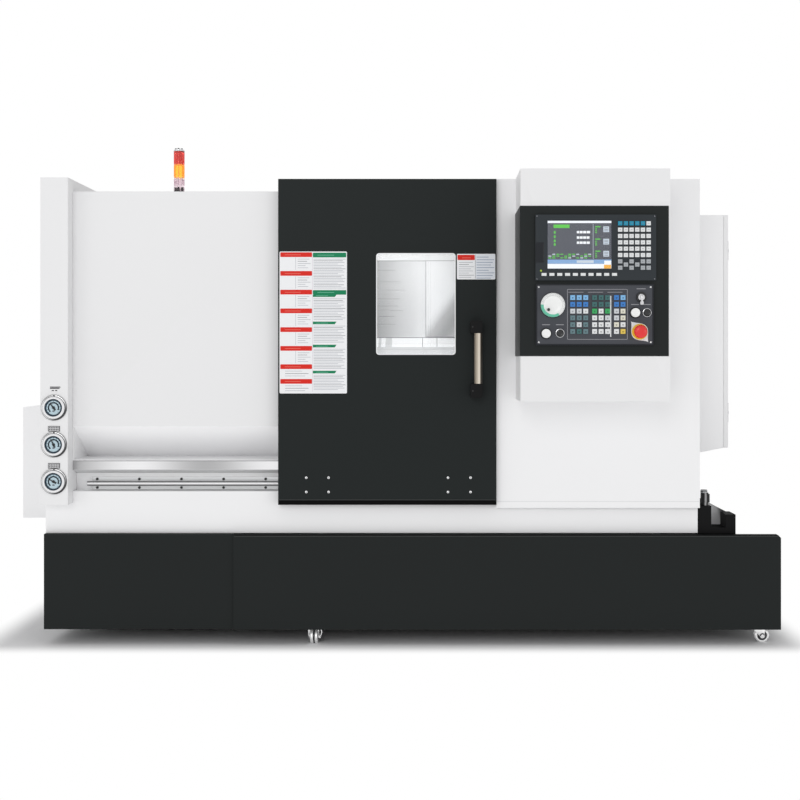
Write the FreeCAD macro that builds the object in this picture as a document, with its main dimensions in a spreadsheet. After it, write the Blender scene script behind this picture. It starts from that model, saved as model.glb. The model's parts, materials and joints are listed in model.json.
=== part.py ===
import FreeCAD, Part

import math
import os
from types import SimpleNamespace

import Sketcher

# CNC turning lathe in a sheet-metal enclosure, in millimetres.
# +X runs to the operator's right, -Y is the operator's side, +Z is up.
# The origin is on the floor, under the middle of the whole machine.

Vector = FreeCAD.Vector
doc = FreeCAD.newDocument("turning_lathe")

SIZES = {
    # Enclosure
    "side_box_width": 124,
    "body_width": 2305,
    "tank_overhang": 283,
    "body_height": 1637,
    "left_roof_drop": 41,
    "body_depth": 1327,
    "panel_setback": 20,
    "sheet": 3,
    "seam": 0.5,
    "skirt_clearance": 55,
    "skirt_height": 335,
    "left_skirt_width": 667,
    "lower_panel_height": 148,
    "pocket_depth": 47,
    "pocket_height": 60,
    "pocket_lap": 2,
    "column_width": 96,
    "column_proud": 37,
    "column_clearance": 496,
    "right_cover_width": 715,
    "right_cover_clearance": 481,
    "opening_overlap": 30,
    "header_height": 76,
    "partition_inset": 410,
    "partition_relief": 20,
    "bar_hole_radius": 50,
    # Left front panel and rail hood
    "shelf_height": 649,
    "facet_depth": 173,
    "facet_rise": 118,
    "facet_skin": 5.4,
    "facet_fold_rise": 1.6,
    "hood_face": 32,
    "hood_bevel": 16,
    "hood_sheet": 2,
    "hood_flange": 59,
    # Side box
    "side_box_setback": 150,
    "side_box_depth": 680,
    "side_box_clearance": 427,
    "side_box_height": 416,
    "side_box_fall": 14,
    # Electrical cabinet
    "cabinet_setback": 250,
    "cabinet_depth": 977,
    "cabinet_width": 144,
    "cabinet_clearance": 646,
    "cabinet_height": 894,
    "cabinet_rise": 28,
    "cabinet_door_thickness": 17,
    "drive_width": 90,
    "drive_depth": 160,
    "drive_height": 380,
    "drive_pitch": 190,
    "drive_drop": 120,
    # Door
    "door_width": 764,
    "door_top_drop": 2,
    "door_clearance": 494,
    "door_thickness": 32,
    "door_gap": 4,
    "door_rim": 60,
    "door_foot_rim": 96,
    "window_inset": 343,
    "window_width": 278,
    "window_height": 356,
    "window_clearance": 1019,
    "window_corner": 10,
    "window_lap": 15,
    "window_rim": 45,
    "pane_thickness": 10,
    "handle_inset": 51,
    "handle_width": 28,
    "handle_depth": 22,
    "handle_reach": 57,
    "handle_length": 175,
    "handle_clearance": 919,
    "handle_block_width": 42,
    "handle_top_block": 43,
    "handle_low_block": 49,
    # Door rail
    "rail_radius": 8,
    "rail_centre": 563,
    "rail_offset": 25,
    "rail_inset": 45,
    "rail_base_inset": 57,
    "rail_base_height": 45,
    "rail_base_thickness": 5,
    "rail_web": 8,
    "rail_base_drop": 24,
    "bearing_width": 50,
    "bearing_height": 40,
    "bearing_inset": 48,
    "bearing_run": 0.05,
    "bearing_wall": 9,
    "bearing_mouth": 14,
    "track_depth": 30,
    "hanger_width": 60,
    "hanger_sheet": 4,
    "hanger_rise": 4,
    "shoe_height": 18,
    "shoe_width": 16,
    "shoe_gap": 0.5,
    # Console
    "console_width": 497,
    "console_height": 773,
    "console_depth": 233,
    "console_inset": 68,
    "knob_reach": 40,
    "bezel_sheet": 2,
    "bezel_width": 494,
    "bezel_height": 499,
    "bezel_lift": 150,
    "panel_plate": 6,
    "panel_wall": 10,
    "display_inset": 51,
    "display_width": 400,
    "display_height": 218,
    "display_lift": 251,
    "display_body_depth": 62,
    "screen_inset": 40,
    "screen_width": 212,
    "screen_height": 159,
    "screen_lift": 39,
    "screen_recess": 2,
    "screen_step": 0.5,
    "key_proud": 4,
    "key_width": 14.3,
    "key_height": 13.6,
    "key_pitch": 18.8,
    "key_row_pitch": 21,
    "key_inset": 273,
    "key_lift": 35,
    "soft_key_width": 16.5,
    "soft_key_height": 9.3,
    "soft_key_pitch": 25.9,
    "soft_key_inset": 20,
    "soft_key_lift": 15,
    "operator_inset": 55,
    "operator_width": 385,
    "operator_height": 197,
    "operator_lift": 39,
    "operator_body_depth": 72,
    "panel_key": 16,
    "panel_key_pitch": 21.5,
    "panel_key_row_pitch": 22.4,
    "panel_key_inset": 111,
    "panel_key_lift": 35,
    "panel_key_gap": 8,
    # Controls on the operator panel
    "collar_proud": 5,
    "collar_wall": 3,
    "switch_collar_wall": 6,
    "stem_radius": 8,
    "stem_length": 20,
    "stem_gap": 0.3,
    "turning_gap": 0.05,
    "button_travel": 3,
    "button_thickness": 10,
    "large_button_radius": 15,
    "small_button_radius": 12,
    "start_inset": 31,
    "start_lift": 36,
    "stop_inset": 77,
    "stop_lift": 37,
    "ready_inset": 326,
    "power_inset": 365,
    "upper_button_lift": 105,
    "estop_inset": 341,
    "estop_lift": 42,
    "estop_radius": 22,
    "estop_thickness": 18,
    "estop_neck": 11,
    "estop_travel": 6,
    "estop_collar": 26,
    "keyswitch_inset": 346,
    "keyswitch_lift": 156,
    "keyswitch_radius": 11,
    "keyswitch_thickness": 8,
    "key_grip_width": 4,
    "key_grip_length": 20,
    "key_grip_reach": 10,
    "wheel_inset": 53,
    "wheel_lift": 130,
    "wheel_radius": 40,
    "wheel_thickness": 14,
    "wheel_face_radius": 29,
    "wheel_face_proud": 4,
    "wheel_knob_radius": 5,
    "wheel_knob_reach": 8,
    "wheel_knob_offset": 22,
    "wheel_shaft_radius": 6,
    # Gauges
    "gauge_radius": 44,
    "gauge_flange": 5,
    "gauge_proud": 12,
    "gauge_dial_radius": 36,
    "gauge_dial_recess": 6,
    "gauge_barrel_radius": 40,
    "gauge_barrel_length": 35,
    "gauge_fit": 0.5,
    "gauge_top_height": 835,
    "gauge_pitch": 128.5,
    # Stack light
    "light_radius": 21,
    "light_lens_radius": 20,
    "light_rod_radius": 5,
    "light_base_height": 58,
    "light_clear_height": 32,
    "light_lens_height": 49,
    "light_cap_height": 13,
    "light_inset": 412,
    "light_setback": 300,
    # Bed
    "bed_clearance": 60,
    "bed_height": 500,
    "bed_left_inset": 52,
    "bed_right_inset": 33,
    "pedestal_width": 580,
    "pedestal_setback": 67,
    "beam_setback": 447,
    "bed_wall": 30,
    "plinth_left_inset": 205,
    "plinth_setback": 207,
    "plinth_depth": 450,
    "bed_top_depth": 144,
    "bed_top_height": 720,
    "bed_back_drop": 280,
    "bed_back_depth": 97,
    "foot_radius": 60,
    "foot_thickness": 20,
    "foot_stem_radius": 18,
    "foot_inset": 70,
    "front_foot_inset": 220,
    "foot_boss_height": 60,
    # Headstock, spindle and drive
    "spindle_setback": 347,
    "spindle_height": 925,
    "headstock_length": 580,
    "headstock_width": 360,
    "headstock_seat_height": 740,
    "headstock_height": 370,
    "headstock_right_inset": 24,
    "spindle_radius": 65,
    "spindle_bore": 28,
    "spindle_run": 0.05,
    "spindle_tail": 25,
    "nose_radius": 70,
    "nose_length": 32,
    "spindle_pulley_radius": 90,
    "motor_pulley_radius": 60,
    "pulley_width": 50,
    "belt_thickness": 8,
    "belt_gap": 0.3,
    "chuck_radius": 105,
    "chuck_thickness": 90,
    "chuck_bore": 26,
    "jaw_width": 30,
    "jaw_inner": 38,
    "jaw_length": 58,
    "jaw_root": 10,
    "jaw_reach": 43,
    "jaw_gap": 0.3,
    "motor_setback": 857,
    "motor_height": 700,
    "motor_radius": 120,
    "motor_length": 380,
    "motor_foot_width": 200,
    "motor_shaft_radius": 20,
    # Saddle, cross slide and turret, in a frame tilted with the bed
    "slant_angle": 65,
    "turret_setback": 477,
    "turret_height": 1215,
    "turret_inset": 58,
    "disc_thickness": 90,
    "disc_radius": 118,
    "tool_swing": 150,
    "tool_reach": 55,
    "tool_size": 32,
    "notch_radius": 8,
    "station_count": 12,
    "tool_count": 4,
    "hub_radius": 45,
    "hub_length": 40,
    "housing_length": 210,
    "housing_half_width": 110,
    "housing_front": 110,
    "slide_gap": 0.3,
    "cross_level": 225,
    "cross_thickness": 50,
    "cross_half_length": 260,
    "cross_way": 30,
    "cross_way_width": 40,
    "saddle_thickness": 60,
    "saddle_inset": 40,
    "saddle_width": 360,
    "saddle_upper_reach": 200,
    "way_height": 30,
    "way_width": 60,
    "way_upper": 100,
    "way_lower": 260,
    "gib_width": 20,
    "arm_width": 18,
    "arm_depth": 60,
    # Way covers
    "cover_break_height": 1403,
    "cover_wall_foot": 1089,
    "cover_ledge_height": 1052,
    "cover_ledge_depth": 60,
    "cover_lean": 60,
    "cover_setback": 647,
    "cover_gap": 0.5,
    "fixed_cover_width": 272,
    "cover_seam_inset": 253,
    "cover_lap": 15,
    "fixed_cover_lap": 10,
    "cover_slot_below": 315,
    "cover_slot_above": 55,
    "cover_slot_gap": 5,
    "cover_top_gap": 5,
    "nose_hole_gap": 5,
    # Coolant tank
    "tank_front_proud": 8,
    "tank_depth": 435,
    "tank_gap": 0.6,
    "tank_top": 315,
    "tank_front_height": 387,
    "tank_flange": 27,
    "tank_corner": 10,
    "tank_return": 45,
    "tank_rim": 35,
    "tank_deck": 280,
    "pump_radius": 45,
    "pump_height": 300,
    "pump_inset": 440,
    "pump_setback": 300,
    "caster_left_inset": 281,
    "caster_right_inset": 73,
    "caster_setback": 55,
    "caster_plate": 60,
    "caster_plate_thickness": 3,
    "caster_gap": 0.3,
    "caster_wheel_radius": 25,
    "caster_wheel_width": 27,
    "caster_floor_gap": 0.5,
    "caster_trail": 18,
    "caster_cheek": 2.5,
    "caster_cheek_lap": 8,
    "caster_side_gap": 1,
    "caster_axle_radius": 4,
    "caster_head_radius": 20,
    "caster_head_height": 5,
    # Anchor bracket
    "anchor_reach": 132,
    "anchor_floor": 21,
    "anchor_gap": 0.6,
    "anchor_width": 90,
    "anchor_setback": 27,
    "anchor_boss_width": 46,
    "anchor_boss_height": 97,
    "anchor_wall_width": 35,
    "anchor_wall_height": 67,
    "anchor_gusset_thickness": 8,
    "anchor_gusset_height": 128,
    "anchor_gusset_end": 60,
}


class Size:
    """A length that knows its number and the formula that binds it to the sheet."""

    def __init__(self, number, formula=None):
        self.number = float(number)
        self.formula = formula or repr(float(number))

    def __add__(self, other):
        other = as_size(other)
        return Size(self.number + other.number, f"({self.formula} + {other.formula})")

    def __sub__(self, other):
        other = as_size(other)
        return Size(self.number - other.number, f"({self.formula} - {other.formula})")

    def __mul__(self, other):
        other = as_size(other)
        return Size(self.number * other.number, f"({self.formula} * {other.formula})")

    def __truediv__(self, other):
        other = as_size(other)
        return Size(self.number / other.number, f"({self.formula} / {other.formula})")

    def __neg__(self):
        return Size(-self.number, f"(0 - {self.formula})")

    def __radd__(self, other):
        return as_size(other) + self

    def __rsub__(self, other):
        return as_size(other) - self

    def __rmul__(self, other):
        return as_size(other) * self


def as_size(value):
    return value if isinstance(value, Size) else Size(value)


def sizes_sheet(values):
    """Write the driving dimensions to a sheet and return them by name."""
    sheet = doc.addObject("Spreadsheet::Sheet", "Sizes")
    known = {}
    for row, (name, value) in enumerate(values.items(), start=1):
        sheet.set(f"A{row}", name)
        sheet.set(f"B{row}", str(value))
        sheet.setAlias(f"B{row}", name)
        known[name] = Size(value, f"Sizes.{name}")
    return SimpleNamespace(**known)


S = sizes_sheet(SIZES)
doc.recompute()

PEDESTAL_CORE_COUNT = (2, 5)  # columns and rows of core pockets
BEAM_CORE_COUNT = (6, 4)
SLOPE_CORE_COUNT = 6
WHOLE_KEY_COLUMN = range(8)
LOW_KEY_COLUMN = [0.5, 2, 3, 4, 5, 6, 7]  # one key between the two lowest rows
JAW_STEP_ANGLE = 120  # degrees

ALONG_X = FreeCAD.Rotation(Vector(0, 1, 0), 90)
ALONG_Y = FreeCAD.Rotation(Vector(1, 0, 0), -90)
ALONG_Z = FreeCAD.Rotation()
PAST = 1  # how far a cutter runs past the face that it opens

SLANT = math.radians(SIZES["slant_angle"])
slant_cos = Size(math.cos(SLANT), "cos(Sizes.slant_angle)")
slant_sin = Size(math.sin(SLANT), "sin(Sizes.slant_angle)")

pieces = []


def piece(name, shape_object):
    """Name a finished piece after its file and keep it for the export."""
    shape_object.Label = name
    pieces.append(shape_object)
    return shape_object


def bind(target, prop, size):
    target.setExpression(prop, as_size(size).formula)


def place(target, x, y, z, rotation=ALONG_Z):
    target.Placement = FreeCAD.Placement(Vector(), rotation)
    bind(target, "Placement.Base.x", x)
    bind(target, "Placement.Base.y", y)
    bind(target, "Placement.Base.z", z)
    return target


def block(name, x, y, z):
    """A box between a low and a high size along each axis."""
    box = doc.addObject("Part::Box", name)
    bind(box, "Length", x[1] - x[0])
    bind(box, "Width", y[1] - y[0])
    bind(box, "Height", z[1] - z[0])
    return place(box, x[0], y[0], z[0])


def rod(name, radius, length, start, rotation=ALONG_Z):
    """A cylinder from its start point along its rotated axis."""
    cylinder = doc.addObject("Part::Cylinder", name)
    bind(cylinder, "Radius", radius)
    bind(cylinder, "Height", length)
    return place(cylinder, start[0], start[1], start[2], rotation)


def fuse(name, *parts):
    joined = doc.addObject("Part::MultiFuse", name)
    joined.Shapes = list(parts)
    return joined


def group(name, *parts):
    """Several separate solids in one node."""
    held = doc.addObject("Part::Compound", name)
    held.Links = list(parts)
    return held


def cut(name, base, *tools):
    removed = doc.addObject("Part::Cut", name)
    removed.Base = base
    removed.Tool = tools[0] if len(tools) == 1 else fuse(name + "_cutter", *tools)
    return removed


def outline(name, points, start, end, plane="YZ_Plane"):
    """A closed outline sketched on an origin plane and padded from start to end."""
    body = doc.addObject("PartDesign::Body", name)
    sketch = body.newObject("Sketcher::SketchObject", name + "_outline")
    support = next(item for item in body.Origin.OriginFeatures if item.Role == plane)
    sketch.AttachmentSupport = [(support, "")]
    sketch.MapMode = "FlatFace"
    corners = [Vector(across.number, up.number, 0) for across, up in points]
    for here, there in zip(corners, corners[1:] + corners[:1]):
        sketch.addGeometry(Part.LineSegment(here, there), False)
    for index, (across, up) in enumerate(points):
        following = (index + 1) % len(points)
        sketch.addConstraint(Sketcher.Constraint("Coincident", index, 2, following, 1))
        for kind, value in (("DistanceX", across), ("DistanceY", up)):
            rule = Sketcher.Constraint(kind, -1, 1, index, 1, value.number)
            number = sketch.addConstraint(rule)
            sketch.setExpression(f"Constraints[{number}]", value.formula)
    pad = body.newObject("PartDesign::Pad", name + "_pad")
    pad.Profile = sketch
    bind(pad, "Length", end - start)
    body.Tip = pad
    if plane == "YZ_Plane":
        bind(body, "Placement.Base.x", start)
    else:
        bind(body, "Placement.Base.y", end)
    return body


def rounded_block(name, x, y, z, radius):
    """A box along Y whose four long edges are rounded."""
    parts = [
        block(name + "_wide", x, y, (z[0] + radius, z[1] - radius)),
        block(name + "_tall", (x[0] + radius, x[1] - radius), y, z),
    ]
    for column, across in enumerate((x[0] + radius, x[1] - radius)):
        for row, up in enumerate((z[0] + radius, z[1] - radius)):
            label = f"{name}_corner_{column}{row}"
            parts.append(rod(label, radius, y[1] - y[0], (across, y[0], up), ALONG_Y))
    return fuse(name, *parts)


# Reference planes of the whole machine
half_width = (S.side_box_width + S.body_width + S.tank_overhang) / 2
body_left = S.side_box_width - half_width
body_right = body_left + S.body_width
tank_right = body_right + S.tank_overhang
half_depth = (S.knob_reach + S.console_depth + S.body_depth) / 2
console_y = S.knob_reach - half_depth
face_y = console_y + S.console_depth
rear_y = face_y + S.body_depth
panel_y = face_y + S.panel_setback
pocket_y = panel_y + S.pocket_depth
inner_rear = rear_y - S.sheet
roof_z = S.body_height - S.left_roof_drop
roof_under = roof_z - S.sheet
skirt_top = S.skirt_clearance + S.skirt_height
pocket_floor = skirt_top + S.lower_panel_height
pocket_top = pocket_floor + S.pocket_height
column_right = body_left + S.column_width
cover_left = body_right - S.right_cover_width
door_right = cover_left - S.seam
door_left = door_right - S.door_width
door_back = panel_y - S.door_gap
door_front = door_back - S.door_thickness
door_top = S.body_height - S.door_top_drop
opening_left = door_left + S.opening_overlap
opening_right = cover_left - S.seam
shelf_under = S.shelf_height - S.sheet
tank_left = body_left + S.left_skirt_width
spindle_y = face_y + S.spindle_setback
spindle_at = (spindle_y, S.spindle_height)


def base_skirt():
    right = tank_left - S.tank_gap
    height = (S.skirt_clearance, skirt_top)
    front = block("skirt_front", (body_left, right), (face_y, face_y + S.sheet), height)
    left = block("skirt_left", (body_left, body_left + S.sheet), (face_y, inner_rear), height)
    flange = block(
        "skirt_flange",
        (body_left, right),
        (face_y, panel_y + S.sheet),
        (skirt_top - S.sheet, skirt_top),
    )
    piece("base_skirt", fuse("base_skirt", front, left, flange))


def lower_front_panel():
    """Front sheet folded back into the rail pocket and up its rear wall."""
    folded = outline(
        "lower_panel_fold",
        [
            (panel_y, skirt_top),
            (panel_y, pocket_floor),
            (pocket_y, pocket_floor),
            (pocket_y, pocket_top + S.pocket_lap),
            (pocket_y + S.sheet, pocket_top + S.pocket_lap),
            (pocket_y + S.sheet, pocket_floor - S.sheet),
            (panel_y + S.sheet, pocket_floor - S.sheet),
            (panel_y + S.sheet, skirt_top),
        ],
        body_left,
        body_right - S.sheet,
    )
    notch = block(
        "lower_panel_notch",
        (body_left - PAST, column_right),
        (panel_y - PAST, pocket_y + S.sheet + PAST),
        (S.column_clearance, pocket_top + S.pocket_lap + PAST),
    )
    piece("lower_front_panel", cut("lower_front_panel", folded, notch))


def left_front_panel():
    """Upright sheet, a facet that leans inwards between closed ends, and a shelf back to the front."""
    facet_y = panel_y + S.facet_depth
    facet_top = S.shelf_height + S.facet_rise
    folded = outline(
        "left_panel_fold",
        [
            (panel_y, roof_z),
            (panel_y, facet_top),
            (facet_y, S.shelf_height),
            (panel_y, S.shelf_height),
            (panel_y, shelf_under),
            (facet_y + S.facet_skin, shelf_under),
            (panel_y + S.sheet, facet_top + S.facet_fold_rise),
            (panel_y + S.sheet, roof_z),
        ],
        column_right,
        opening_left,
    )
    ends = [
        outline(
            name,
            [(panel_y, S.shelf_height), (panel_y, facet_top), (facet_y, S.shelf_height)],
            low_x,
            low_x + S.sheet,
        )
        for name, low_x in (
            ("left_panel_end", column_right),
            ("right_panel_end", opening_left - S.sheet),
        )
    ]
    header = block(
        "left_panel_header",
        (opening_left, opening_right),
        (panel_y, panel_y + S.sheet),
        (roof_z - S.header_height, roof_z),
    )
    piece("left_front_panel", fuse("left_front_panel", folded, *ends, header))


def left_end_cover():
    """Gauge column at the front and the whole left side, with the hole that bar stock enters by."""
    front_y = face_y - S.column_proud
    full = (S.column_clearance, S.body_height)
    inner = (column_right - S.sheet, column_right)
    track_back = panel_y + S.sheet + S.track_depth
    walls = [
        block("column_front", (body_left, column_right), (front_y, front_y + S.sheet), full),
        block("column_outer", (body_left, body_left + S.sheet), (front_y, inner_rear), full),
        block("column_inner", inner, (front_y, track_back), full),
        block("column_crest", inner, (track_back, inner_rear), (roof_under, S.body_height)),
        block(
            "column_top",
            (body_left, column_right),
            (front_y, inner_rear),
            (S.body_height - S.sheet, S.body_height),
        ),
        block(
            "column_floor",
            (body_left, column_right),
            (front_y, panel_y),
            (S.column_clearance, S.column_clearance + S.sheet),
        ),
        block(
            "column_lower_side",
            (body_left, body_left + S.sheet),
            (panel_y + S.sheet, inner_rear),
            (skirt_top, S.column_clearance),
        ),
    ]
    shell = fuse("column_shell", *walls)
    holes = []
    for number, (x, z) in enumerate(gauge_places()):
        holes.append(
            rod(
                f"gauge_hole_{number}",
                S.gauge_barrel_radius + S.gauge_fit,
                S.sheet + 2 * PAST,
                (x, front_y - PAST, z),
                ALONG_Y,
            )
        )
    bar_start = (body_left - PAST, spindle_y, S.spindle_height)
    holes.append(rod("bar_hole", S.bar_hole_radius, S.sheet + 2 * PAST, bar_start, ALONG_X))
    piece("left_end_cover", cut("left_end_cover", shell, *holes))


def gauge_places():
    """Centres of the three gauges on the column, from the top one down."""
    centre = body_left + S.column_width / 2
    return [(centre, S.gauge_top_height - count * S.gauge_pitch) for count in range(3)]


def cover_outline(shift, top, foot):
    """Front face of the way covers in Y and Z, from the roof down to the foot."""
    wall_y = face_y + S.cover_setback - shift
    ledge_y = wall_y - S.cover_ledge_depth
    run = slant_cos / slant_sin
    return [
        (wall_y - S.cover_lean, top),
        (wall_y, S.cover_break_height),
        (wall_y, S.cover_wall_foot),
        (ledge_y, S.cover_ledge_height),
        (ledge_y - run * (S.cover_ledge_height - foot), foot),
    ]


def right_cover():
    """Right front, side and roof, with the partition that ends the work area."""
    full = (S.right_cover_clearance, S.body_height)
    left_wall = (cover_left, cover_left + S.sheet)
    deep_y = panel_y + S.facet_depth
    partition_x = body_right - S.partition_inset
    partition_back = cover_outline(S.partition_relief, roof_z, shelf_under)
    walls = [
        block("cover_front", (cover_left, body_right), (face_y, face_y + S.sheet), full),
        block("cover_side", (body_right - S.sheet, body_right), (face_y, inner_rear), full),
        block(
            "cover_roof",
            (cover_left, body_right),
            (face_y, inner_rear),
            (S.body_height - S.sheet, S.body_height),
        ),
        block("cover_return", left_wall, (face_y, panel_y), full),
        block("cover_jamb", left_wall, (panel_y, deep_y), (S.shelf_height, S.body_height)),
        block("cover_crest", left_wall, (panel_y, inner_rear), (roof_under, S.body_height)),
        outline(
            "cover_partition",
            [
                (face_y, shelf_under),
                (face_y, S.body_height),
                (partition_back[0][0], S.body_height),
                *partition_back,
            ],
            partition_x,
            partition_x + S.sheet,
        ),
    ]
    piece("right_cover", fuse("right_cover", *walls))


def rear_cover():
    """Rear sheet, folded forwards over the left part as its roof."""
    track_back = panel_y + S.sheet + S.track_depth
    across = (inner_rear, rear_y)
    left_x = (body_left, cover_left)
    left_z = (S.skirt_clearance, roof_z)
    right_x = (cover_left, body_right)
    right_z = (S.skirt_clearance, S.body_height)
    crest_x = (body_left, column_right)
    parts = [
        block("rear_left", left_x, across, left_z),
        block("rear_right", right_x, across, right_z),
        block("rear_crest", crest_x, across, (roof_z, S.body_height)),
        block("roof", (column_right, cover_left), (track_back, rear_y), (roof_under, roof_z)),
    ]
    piece("rear_cover", fuse("rear_cover", *parts))


def side_box():
    """Sheet box on the left side, with a top that falls away from the body."""
    left = -half_width
    front = face_y + S.side_box_setback
    top = S.side_box_clearance + S.side_box_height
    shell = outline(
        "side_box_shell",
        [
            (left, S.side_box_clearance),
            (body_left, S.side_box_clearance),
            (body_left, top),
            (left, top - S.side_box_fall),
        ],
        front,
        front + S.side_box_depth,
        "XZ_Plane",
    )
    hollow = block(
        "side_box_hollow",
        (left + S.sheet, body_left + PAST),
        (front + S.sheet, front + S.side_box_depth - S.sheet),
        (S.side_box_clearance + S.sheet, top - S.side_box_fall - S.sheet),
    )
    piece("side_box", cut("side_box", shell, hollow))


def electrical_cabinet():
    """Cabinet on the right side, open towards its door, with its drives on the rear wall."""
    right = body_right + S.cabinet_width
    front = face_y + S.cabinet_setback
    back = front + S.cabinet_depth
    top = S.cabinet_clearance + S.cabinet_height
    low = S.cabinet_clearance + S.cabinet_rise
    shell = outline(
        "cabinet_shell",
        [(body_right, S.cabinet_clearance), (right, low), (right, top), (body_right, top)],
        front,
        back,
        "XZ_Plane",
    )
    hollow = block(
        "cabinet_hollow",
        (body_right + S.sheet, right + PAST),
        (front + S.sheet, back - S.sheet),
        (low + S.sheet, top - S.sheet),
    )
    case = cut("cabinet_case", shell, hollow)
    piece(
        "cabinet_door",
        block(
            "cabinet_door",
            (right + S.seam, right + S.cabinet_door_thickness),
            (front, back),
            (low, top),
        ),
    )
    drives = []
    drive_top = top - S.drive_drop
    for number in range(3):
        low_y = front + S.drive_pitch * (number + 1)
        drives.append(
            block(
                f"drive_{number}",
                (body_right + S.sheet, body_right + S.sheet + S.drive_width),
                (low_y, low_y + S.drive_depth),
                (drive_top - S.drive_height, drive_top),
            )
        )
    piece("electrical_cabinet", fuse("electrical_cabinet", case, *drives))


def rail_hood():
    """Bright cap over the rail pocket: a face, a bevel back to the wall, a top flange."""
    face_foot = shelf_under - S.hood_face
    bevel_foot = face_foot - S.hood_bevel
    folded = outline(
        "rail_hood",
        [
            (panel_y, shelf_under),
            (panel_y, face_foot),
            (pocket_y, bevel_foot),
            (pocket_y, bevel_foot + S.hood_sheet),
            (panel_y + S.hood_sheet, face_foot + S.hood_sheet),
            (panel_y + S.hood_sheet, shelf_under - S.hood_sheet),
            (panel_y + S.hood_flange, shelf_under - S.hood_sheet),
            (panel_y + S.hood_flange, shelf_under),
        ],
        column_right,
        opening_right,
    )
    piece("rail_hood", folded)


def door_rail():
    """Round shaft on a T-shaped support that is screwed to the pocket's wall."""
    right = opening_right
    shaft_y = pocket_y - S.rail_offset
    base_y = pocket_y - S.rail_base_thickness
    low = S.rail_centre - S.rail_base_drop
    left = column_right + S.rail_base_inset
    web = (S.rail_centre - S.rail_web / 2, S.rail_centre + S.rail_web / 2)
    shaft_left = column_right + S.rail_inset
    base = block("rail_base", (left, right), (base_y, pocket_y), (low, low + S.rail_base_height))
    rib = block("rail_rib", (left, right), (shaft_y, base_y), web)
    start = (shaft_left, shaft_y, S.rail_centre)
    shaft = rod("rail_shaft", S.rail_radius, right - shaft_left, start, ALONG_X)
    piece("door_rail", fuse("door_rail", base, rib, shaft))


def upper_door_track():
    front = panel_y + S.sheet
    back = front + S.track_depth
    span = (column_right, opening_right)
    outer = block("track_outer", span, (front, back), (roof_z - S.track_depth, roof_z))
    channel = block(
        "track_channel",
        (column_right - PAST, opening_right + PAST),
        (front + S.sheet, back - S.sheet),
        (roof_z - S.track_depth + S.sheet, roof_z + PAST),
    )
    piece("upper_door_track", cut("upper_door_track", outer, channel))


def window_span(grow):
    """Window opening of the door, grown by a margin on every side."""
    left = door_left + S.window_inset
    low = S.window_clearance
    return (
        (left - grow, left + S.window_width + grow),
        (low - grow, low + S.window_height + grow),
    )


def front_door():
    """Folded skin over a frame, with a rebate behind the window opening."""
    skin_back = door_front + S.sheet
    levels = (S.door_clearance, door_top)
    slab = block("door_slab", (door_left, door_right), (door_front, door_back), levels)
    span_x, span_z = window_span(0)
    through = (door_front - PAST, door_back + PAST)
    window = rounded_block("door_window_hole", span_x, through, span_z, S.window_corner)
    lap_x, lap_z = window_span(S.window_lap)
    rebate = block("door_rebate", lap_x, (skin_back, door_back + PAST), lap_z)
    recess = block(
        "door_recess",
        (door_left + S.door_rim, door_right - S.door_rim),
        (skin_back, door_back + PAST),
        (S.door_clearance + S.door_foot_rim, door_top - S.door_rim),
    )
    rim_x, rim_z = window_span(S.window_rim)
    rim = block("door_window_rim", rim_x, (skin_back - PAST, door_back + 2 * PAST), rim_z)
    pockets = cut("door_pockets", recess, rim)
    piece("front_door", cut("front_door", slab, window, rebate, pockets))
    pane = block("door_window", lap_x, (skin_back, skin_back + S.pane_thickness), lap_z)
    piece("door_window", pane)


def door_handle():
    right = door_right - S.handle_inset
    left = right - S.handle_width
    front = door_front - S.handle_reach
    low = S.handle_clearance
    top = low + S.handle_length
    bar = block("door_handle", (left, right), (front, front + S.handle_depth), (low, top))
    piece("door_handle", bar)
    blocks = []
    for name, z in (("low", (low - S.handle_low_block, low)), ("top", (top, top + S.handle_top_block))):
        span = (right - S.handle_block_width, right)
        blocks.append(block(f"handle_block_{name}", span, (front, door_front), z))
    piece("door_handle_mounts", group("door_handle_mounts", *blocks))


def door_bearing_blocks():
    """Two open bearings on the lower rail and two hangers with shoes in the upper track."""
    parts = []
    shaft_y = pocket_y - S.rail_offset
    for number, left in enumerate(bearing_lefts()):
        span = (left, left + S.bearing_width)
        low = S.rail_centre - S.bearing_height / 2
        reach = shaft_y + S.rail_radius + S.bearing_wall
        body = block(f"bearing_{number}_body", span, (door_back, reach), (low, low + S.bearing_height))
        radius = S.rail_radius + S.bearing_run
        start = (left - PAST, shaft_y, S.rail_centre)
        bore = rod(f"bearing_{number}_bore", radius, S.bearing_width + 2 * PAST, start, ALONG_X)
        mouth = block(
            f"bearing_{number}_mouth",
            (left - PAST, left + S.bearing_width + PAST),
            (shaft_y, reach + PAST),
            (S.rail_centre - S.bearing_mouth / 2, S.rail_centre + S.bearing_mouth / 2),
        )
        parts.append(cut(f"bearing_{number}", body, bore, mouth))
        parts.append(door_hanger(number, left))
    piece("door_bearing_blocks", group("door_bearing_blocks", *parts))


def bearing_lefts():
    left = door_left + S.bearing_inset
    return [left, door_right - S.bearing_inset - S.bearing_width]


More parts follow.
